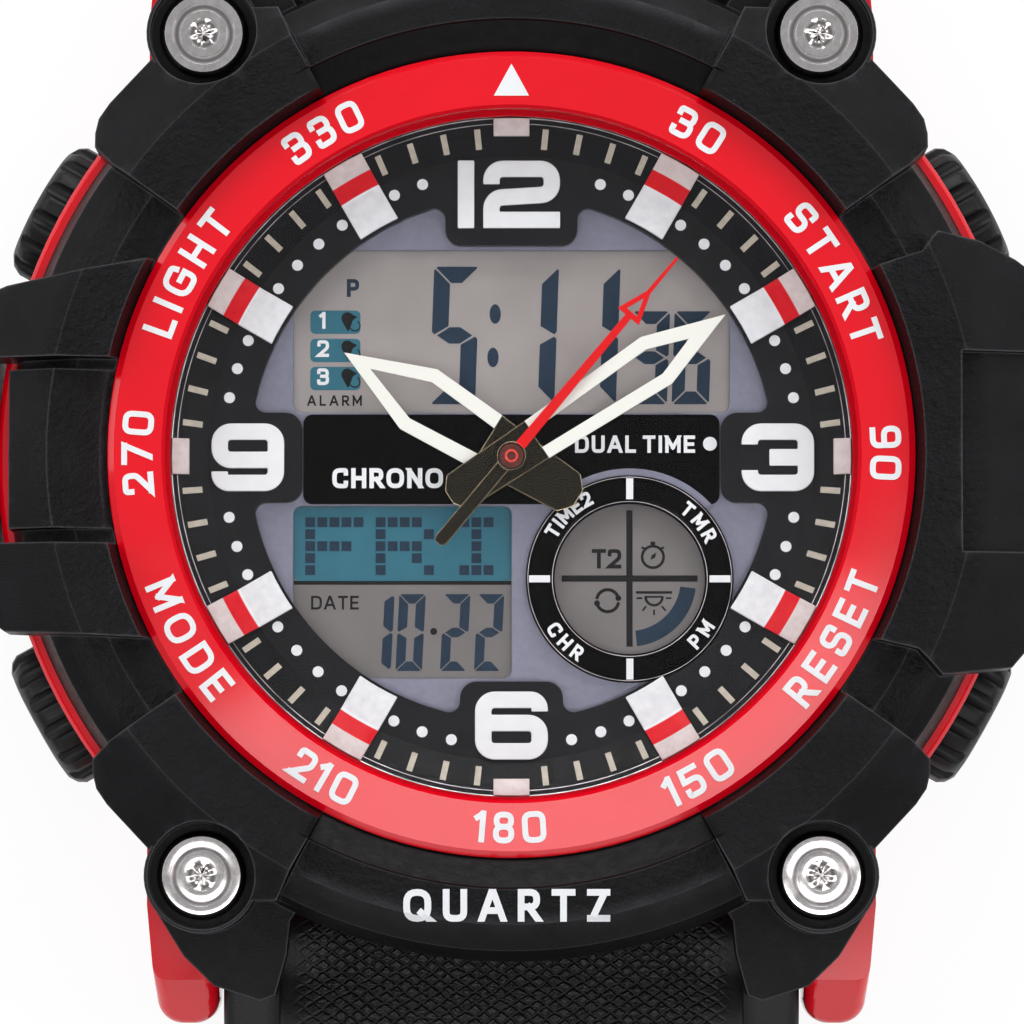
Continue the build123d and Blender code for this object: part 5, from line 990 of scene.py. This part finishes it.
teal = Print("display_fields", "lcd_teal", LCD_LEVEL, FIELD_RISE, slot="display")
numbers = Print("alarm_numbers", "print_white", LCD_LEVEL, OVER_FIELD_RISE)
for number, foot in ALARM_ROWS:
    field(teal, ALARM_LEFT, foot, ALARM_RIGHT, foot + ALARM_HEIGHT, ALARM_CORNER)
    numbers.word(number, 0.92, 0.18, straight((NUMBER_X, foot + NUMBER_RISE)), 0.1)
    bell = (BELL_X, foot + BELL_RISE)
    black.disc(bell, BELL_RADIUS, sides=14)
    black.marks(("plate", points, bell) for points in BELL_PLATES)
    black.arc(about(bell)(0.42, -0.42), 0.28, 0.07, -150, 60, 10)
field(teal, FIELD_LEFT, DAY_FOOT, FIELD_RIGHT, DAY_TOP, DAY_CORNER)
teal.done()
numbers.done()

# Day of the week in square cells: each letter's first column and its rows
CELL, PITCH_X, PITCH_Y = 0.545, 0.66, 0.655
DAY_LEFT, DAY_CELL_TOP = -11.26, -3.18
DAY_LETTERS = (
    (0, ["xxxxx", "x", "xxxx", "x", "x"]),
    (5.82, ["xxxx", "x...x", "xxxx", "x..x", "x...x"]),
    (12.75, ["xxx", ".x", ".x", ".x", "xxx"]),
)
day_cells = Print("day_cells", "lcd_navy", LCD_LEVEL, OVER_FIELD_RISE, slot="display")
for start, rows in DAY_LETTERS:
    for row, cells in enumerate(rows):
        for column, cell in enumerate(cells):
            if cell == "x":
                x, y = DAY_LEFT + (start + column) * PITCH_X, DAY_CELL_TOP - row * PITCH_Y
                day_cells.bar(x, y - CELL, x + CELL, y)
day_cells.done()
black.done()

# Sub-dial ring: words with their angles and letter gaps and four bars; the painted highlight lines on its
# edges are drawn further down
SUB_TOP = top_of("subdial_ring")
SUB_WORDS = (
    ("TIME2", -43.5, True, 0.14), ("TMR", 50.5, True, 0.28), ("CHR", 226, False, 0.28),
    ("PM", 128, False, 0.28),
)
SUB_MIDDLE, SUB_LETTER, SUB_STROKE = 4.93, 0.80, 0.17
SUB_BAR_HALF, SUB_BAR_START, SUB_BAR_END = 0.19, 4.34, 5.48
WORD_RISE = 0.02
ring_words = Print("subdial_words", "print_white", SUB_TOP, WORD_RISE)
for word, degrees, outward, gap in SUB_WORDS:
    ring_words.word(word, SUB_LETTER, SUB_STROKE, around(degrees, SUB_MIDDLE, SUB, outward), gap)
for degrees in range(0, 360, 90):
    ring_words.plate(spoke(degrees, SUB_BAR_HALF, SUB_BAR_START, SUB_BAR_END, SUB))
ring_words.done()

# Crossbar, hub and painted rim highlights: name, paint, height, rise, body and slot of each piece, then its
# marks
CROSSBAR_TOP, HUB_TOP, CENTRE = top_of("dial_crossbar"), top_of("second_hand"), (0, 0)
for name, paint, height, rise, body, slot, *rows in (
    ("crossbar_words", "print_white", CROSSBAR_TOP, WORD_RISE, "case", "marker_white",
     ("word", "DUAL", 0.95, 0.19, straight((5.13, 0.78)), 0.16),
     ("word", "TIME", 0.95, 0.19, straight((8.59, 0.78)), 0.17),
     ("disc", (10.83, 0.80), 0.38),
     ("word", "CHRONO", 1.10, 0.24, straight((-6.75, -1.08)), 0.17)),
    ("crossbar_cut", "dial_grey", CROSSBAR_TOP, MARK_RISE, "case", "dial_grey",
     ("arc", SUB, 5.86, 0.38, 42.8, 137.2, 48)),
    # Painted highlight lines on the sub-dial ring's edges
    ("subdial_rims", "rim_pale", SUB_TOP, MARK_RISE, "case", "steel",
     ("arc", SUB, 5.55, 0.035, 0, 360, 96), ("arc", SUB, 4.22, 0.04, 0, 360, 96)),
    ("hub_face", "hub_brown", HUB_TOP, 0.01, "second", "hand_red", ("disc", CENTRE, 0.66, 40)),
    ("hub_ring", "hub_red", HUB_TOP, 0.03, "second", "hand_red", ("arc", CENTRE, 0.30, 0.11, 0, 360, 32)),
    ("hub_rim", "glossy_black", HUB_TOP, 0.015, "second", "hand_red",
     ("arc", CENTRE, 0.70, 0.08, 0, 360, 48)),
    # Painted highlight lines on the chapter ring's slope
    ("rim_lines", "rim_pale", chapter_height, WORD_RISE, "case", "marker_white",
     ("arc", CENTRE, 18.16, 0.035, 0, 360, 240), ("arc", CENTRE, 18.44, 0.05, 0, 360, 240)),
):
    piece = Print(name, paint, height, rise, body, slot)
    piece.marks(rows)
    piece.done()

# Word on the lower band of the shell, laid on its slopes: reach and height
SHELL_TOP = ((23.5, 15.9), (25.4, 15.65), (26.8, 14.5), (27.4, 11.6))
BAND_RISE, BAND_PIECES = 0.08, 20


def read_table(table, reach):
    """Straight-line reading of a table of reach and value."""
    for (low, first), (high, second) in zip(table, table[1:]):
        if reach <= high:
            return first + (second - first) * max(0.0, reach - low) / (high - low)
    return table[-1][1]


def shell_height(x, y):
    """Height of the shell's lower band at a place."""
    return read_table(SHELL_TOP, math.hypot(x, y))


band_word = Print("band_word", "print_white", shell_height, BAND_RISE, pieces=BAND_PIECES)
band_word.word("QUARTZ", 1.75, 0.36, straight((-0.25, -24.35)), 0.62)
band_word.done()

# Straps: lofted bands with a raised textured middle; reach is measured from the watch's middle
BAR_REACH, BAR_HEIGHT, EYE = 26.6, 4.2, 3.3
EYE_ANGLES = (9, 25, 40, 55, 70, 82)
SHOULDER_REACHES = [26.6, 27.2, 27.8, 28.25, 28.42, 28.6, 28.9, 29.4]
FIRST_STEP, STEP = 30.0, 1.0
KEEPER_LIFT = 1.3
BUCKLE_REACH, BUCKLE_HEIGHT, BUCKLE_EYE = 98.0, 2.8, 1.6
BUCKLE_ANGLES = (0, 20, 40, 58, 74, 84)
BUCKLE_BLEND, LEAST_RISE = 1.2, 0.05
LOWER_END, TIP_RADIUS, TIP_HALF, TIP_EDGE, TIP_SLOPE = 152.0, 8, 10.5, 0.8, 0.7
WIDEST_REACH, PAD_START, LEAST_PAD = 24.5, 27.5, 0.01
HALF_WIDTHS = ((23.3, 15.8), (33, 15.8), (47, 12.2), (62, 11.0), (152, 10.5))
PAD_HALF_WIDTHS = ((28.4, 12.7), (33, 12.8), (47, 10.2), (66, 9.4))
PAD_MARGIN, MOST_CORNER, CORNER_SHARE = 0.82, 0.7, 0.4
LIP, LIP_RUN = 0.35, 0.3
EASED_RUN, PAD_EASED_RUN = 1.1, 0.5


def eased(table, reach, run=EASED_RUN):
    """The table read with its corners rounded off."""
    return sum(read_table(table, reach + shift * run) for shift in (-1, -0.5, 0, 0.5, 1)) / 5


def strap_tables(lift):
    """Heights of a strap half's top, underside and pad along its reach."""
    top = (
        (26.6, 7.5), (30, 7.0), (36, 5.6 + lift / 2), (45, 4.2 + lift), (62, 3.0 + lift), (152, 2.6 + lift),
    )
    base = ((26.6, 0.9), (33 if lift else 31.5, lift), (152, lift))
    pad = (
        (27.6, 7.3), (28.4, 7.42), (31.5, 8.3), (36, 6.8 + lift / 2), (45, 5.16 + lift), (62, 3.48 + lift),
        (66, 3.0 + lift), (70, 2.9 + lift),
    )
    return top, base, pad


def strap_ring(half, low, high, pad_half, pad_high, corner):
    """One closed cross-section, from the middle of the underside round over the top."""
    side = [(0.0, low), (0.5 * half, low), (half - corner, low)]
    side += [on_circle((half - corner, low + corner), corner, 22.5 * k - 90) for k in range(1, 5)]
    side += [on_circle((half - corner, high - corner), corner, 22.5 * k) for k in range(5)]
    top = high + max(0.0, pad_high - high)
    lip = min(LIP, (top - high) / 2)
    # The pad's foot, its lip and its flat top
    side += [
        (pad_half + 0.8, high), (pad_half + 0.25, high + 0.02), (pad_half, high + lip * 0.6),
        (pad_half - 0.02, top - lip), (pad_half - LIP_RUN * lip - 0.03, top - LIP_RUN * lip),
        (pad_half - lip - 0.05, top), (pad_half * 0.66, top), (pad_half * 0.33, top), (0.0, top),
    ]
    return side + [(-x, z) for x, z in reversed(side[1:-1])]


def strap_reaches(lift, end):
    """Where the cross-sections stand: close together at the bar, the pad's start and the end."""
    reaches = [BAR_REACH - EYE * math.cos(math.radians(a)) for a in EYE_ANGLES] + SHOULDER_REACHES
    straight_end = BUCKLE_REACH if lift else end - TIP_RADIUS - STEP
    step = FIRST_STEP
    while step < straight_end:
        reaches.append(step)
        step += STEP
    if lift:
        return reaches + [BUCKLE_REACH + BUCKLE_EYE * math.sin(math.radians(a)) for a in BUCKLE_ANGLES]
    tip = [end - TIP_RADIUS + TIP_RADIUS * math.sin(math.radians(a)) for a in range(-5, 90, 7)]
    return reaches + tip + [end - 0.02]


def strap_mesh(name, sign, lift, end):
    """A strap half as one lofted mesh; sign is +1 for the buckle half."""
    top, base, pad = strap_tables(lift)
    rings = []
    for reach in strap_reaches(lift, end):
        half = eased(HALF_WIDTHS, max(reach, WIDEST_REACH))
        low, high = eased(base, reach), eased(top, reach)
        pad_half, pad_high = eased(PAD_HALF_WIDTHS, reach), eased(pad, reach, PAD_EASED_RUN)
        if reach < BAR_REACH:
            rise = math.sqrt(EYE ** 2 - (BAR_REACH - reach) ** 2)
            low, high = BAR_HEIGHT - rise, BAR_HEIGHT + rise
        if lift and reach > BUCKLE_REACH - BUCKLE_BLEND:
            ahead = max(0.0, reach - BUCKLE_REACH)
            rise = math.sqrt(max(LEAST_RISE, BUCKLE_EYE ** 2 - ahead ** 2))
            low, high = BUCKLE_HEIGHT - rise, BUCKLE_HEIGHT + rise
            pad_high = high
        if not lift and reach > end - TIP_RADIUS:
            past = reach - end + TIP_RADIUS
            half = TIP_HALF - TIP_RADIUS + math.sqrt(max(0.0, TIP_RADIUS ** 2 - past ** 2))
            edge = max(0.0, reach - end + TIP_EDGE)
            low, high = low + TIP_SLOPE * edge, high - TIP_SLOPE * edge
        if reach < PAD_START or pad_high < high + LEAST_PAD:
            pad_high = high
        corner = min(MOST_CORNER, CORNER_SHARE * (high - low))
        pad_half = min(pad_half, half - corner - PAD_MARGIN)
        ring = strap_ring(half, low, high, pad_half, pad_high, corner)
        rings.append([(x * MM, sign * reach * MM, z * MM) for x, z in ring])
    count = len(rings[0])
    verts = [vert for ring in rings for vert in ring]
    faces = []
    for i in range(len(rings) - 1):
        for j in range(count):
            k = (j + 1) % count
            faces.append((i * count + j, i * count + k, (i + 1) * count + k, (i + 1) * count + j))
    faces.append(tuple(reversed(range(count))))
    faces.append(tuple((len(rings) - 1) * count + j for j in range(count)))
    if sign < 0:
        faces = [face[::-1] for face in faces]
    return object_from(name, verts, faces, paints["strap_leather"])


def rods(places, radius, half, axis, sides=40):
    """Cutter rods along X or Z."""
    verts, faces = [], []
    for x, y, z in places:
        start = len(verts)
        for end in (-half, half):
            for k in range(sides):
                a, b = on_circle((0, 0), radius, 360 * k / sides)
                spot = (x + end, y + a, z + b) if axis == "X" else (x + a, y + b, z + end)
                verts.append(tuple(c * MM for c in spot))
        for k in range(sides):
            j = (k + 1) % sides
            faces.append((start + k, start + j, start + sides + j, start + sides + k))
        faces.append(tuple(start + k for k in reversed(range(sides))))
        faces.append(tuple(start + sides + k for k in range(sides)))
    return verts, faces


def carve(piece, cutters):
    """Cuts rods and blocks out of a piece and keeps only its new mesh."""
    made = []
    for verts, faces in cutters:
        cutter = object_from("cutter", verts, faces, paints["strap_leather"])
        shape = bmesh.new()
        shape.from_mesh(cutter.data)
        bmesh.ops.recalc_face_normals(shape, faces=shape.faces)
        shape.to_mesh(cutter.data)
        shape.free()
        cut = piece.modifiers.new("cut", "BOOLEAN")
        cut.object = cutter
        cut.operation = "DIFFERENCE"
        cut.solver = "EXACT"
        made.append(cutter)
    graph = bpy.context.evaluated_depsgraph_get()
    carved = bpy.data.meshes.new_from_object(piece.evaluated_get(graph))
    piece.modifiers.clear()
    piece.data = carved
    for cutter in made:
        bpy.data.objects.remove(cutter)


SOFT_ANGLE = math.radians(38)


def place_soft(piece, body):
    """Smooth shading with sharp edges kept; the piece rides the body and stands for its soft solid."""
    piece.data.polygons.foreach_set("use_smooth", [True] * len(piece.data.polygons))
    piece.data.set_sharp_from_angle(angle=SOFT_ANGLE)
    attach(piece, body)
    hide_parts(body)


BAR_BORE, BAR_CUT_HALF = 0.8, 17.0
BUCKLE_BORE, BUCKLE_CUT_HALF = 0.78, 13.0
SLOT_HALF, SLOT_START, SLOT_END, SLOT_LOW, SLOT_HIGH = 1.7, 93.5, 101.0, -1.0, 7.0
HOLES, FIRST_HOLE, HOLE_PITCH, HOLE_RADIUS, HOLE_MIDDLE, HOLE_CUT_HALF = 11, 76.0, 6.5, 1.1, 1.5, 4.0
slot_verts = [
    (x * MM, y * MM, z * MM)
    for x in (-SLOT_HALF, SLOT_HALF) for y in (SLOT_START, SLOT_END) for z in (SLOT_LOW, SLOT_HIGH)
]
slot_faces = [(0, 1, 3, 2), (4, 6, 7, 5), (0, 4, 5, 1), (2, 3, 7, 6), (0, 2, 6, 4), (1, 5, 7, 3)]
upper_strap = strap_mesh("upper_strap_band", 1, KEEPER_LIFT, BUCKLE_REACH + BUCKLE_EYE)
lower_strap = strap_mesh("lower_strap_band", -1, 0.0, LOWER_END)
carve(upper_strap, [
    rods([(0, BAR_REACH, BAR_HEIGHT)], BAR_BORE, BAR_CUT_HALF, "X"),
    rods([(0, BUCKLE_REACH, BUCKLE_HEIGHT)], BUCKLE_BORE, BUCKLE_CUT_HALF, "X"),
    (slot_verts, slot_faces),
])
hole_places = [(0, -FIRST_HOLE - HOLE_PITCH * k, HOLE_MIDDLE) for k in range(HOLES)]
carve(lower_strap, [
    rods([(0, -BAR_REACH, BAR_HEIGHT)], BAR_BORE, BAR_CUT_HALF, "X"),
    rods(hole_places, HOLE_RADIUS, HOLE_CUT_HALF, "Z"),
])
place_soft(upper_strap, "strap_upper")
place_soft(lower_strap, "strap_lower")

KEEPER_INNER_HALF, KEEPER_LOW, KEEPER_HIGH, KEEPER_CORNER, KEEPER_REACH = 11.6, 1.2, 8.6, 0.8, 84.0
KEEPER_HALF, KEEPER_WALL, KEEPER_EDGE, KEEPER_CHAMFER = 4.0, 1.2, 0.32, 0.1
GROOVE_DEPTH, GROOVE_PLACES = 0.22, (-2.55, -2.35, -1.95, -1.75)


def keeper_mesh():
    """The keeper: a rounded loop with two shallow grooves round it."""
    right = KEEPER_INNER_HALF - KEEPER_CORNER
    top, base = KEEPER_HIGH - KEEPER_CORNER, KEEPER_LOW + KEEPER_CORNER
    corners = (right, top), (-right, top), (-right, base), (right, base)
    path = []
    for centre, start in zip(corners, (0, 90, 180, 270)):
        for k in range(9):
            turn = start + 11.25 * k
            path.append((on_circle(centre, KEEPER_CORNER, turn), on_circle((0, 0), 1, turn)))
    half, wall, edge, chamfer = KEEPER_HALF, KEEPER_WALL, KEEPER_EDGE, KEEPER_CHAMFER
    section = [
        (-half + edge, 0), (-half + chamfer, chamfer), (-half, edge), (-half, wall - edge),
        (-half + chamfer, wall - chamfer), (-half + edge, wall),
    ]
    section += [(y, wall - deep) for y, deep in zip(GROOVE_PLACES, (0, GROOVE_DEPTH, GROOVE_DEPTH, 0))]
    section += [(-y, depth) for y, depth in reversed(section)]
    verts, faces = [], []
    for (x, z), out in path:
        for y, depth in section:
            verts.append(((x + out[0] * depth) * MM, (KEEPER_REACH + y) * MM, (z + out[1] * depth) * MM))
    rings, count = len(path), len(section)
    for i in range(rings):
        for j in range(count):
            a, b = i * count + j, i * count + (j + 1) % count
            c, d = ((i + 1) % rings) * count + (j + 1) % count, ((i + 1) % rings) * count + j
            faces.append((a, d, c, b))
    return object_from("keeper_loop", verts, faces, paints["strap_leather"])


place_soft(keeper_mesh(), "keeper")

# Return springs: the imported coils again, as pieces of their own on the case in place of the imported nodes
for joint in frame["record"]["behaviour"]["joints"]:
    for spring in joint.get("deforming_nodes", ()):
        coil = add_to_scene("return_" + spring["node"], nodes[spring["node"]].data.copy())
        outward, fixed = -Vector(joint["axis"]), Vector(spring["fixed_end_m"])
        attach(coil, "case")
        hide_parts(spring["node"])
        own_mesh(coil)
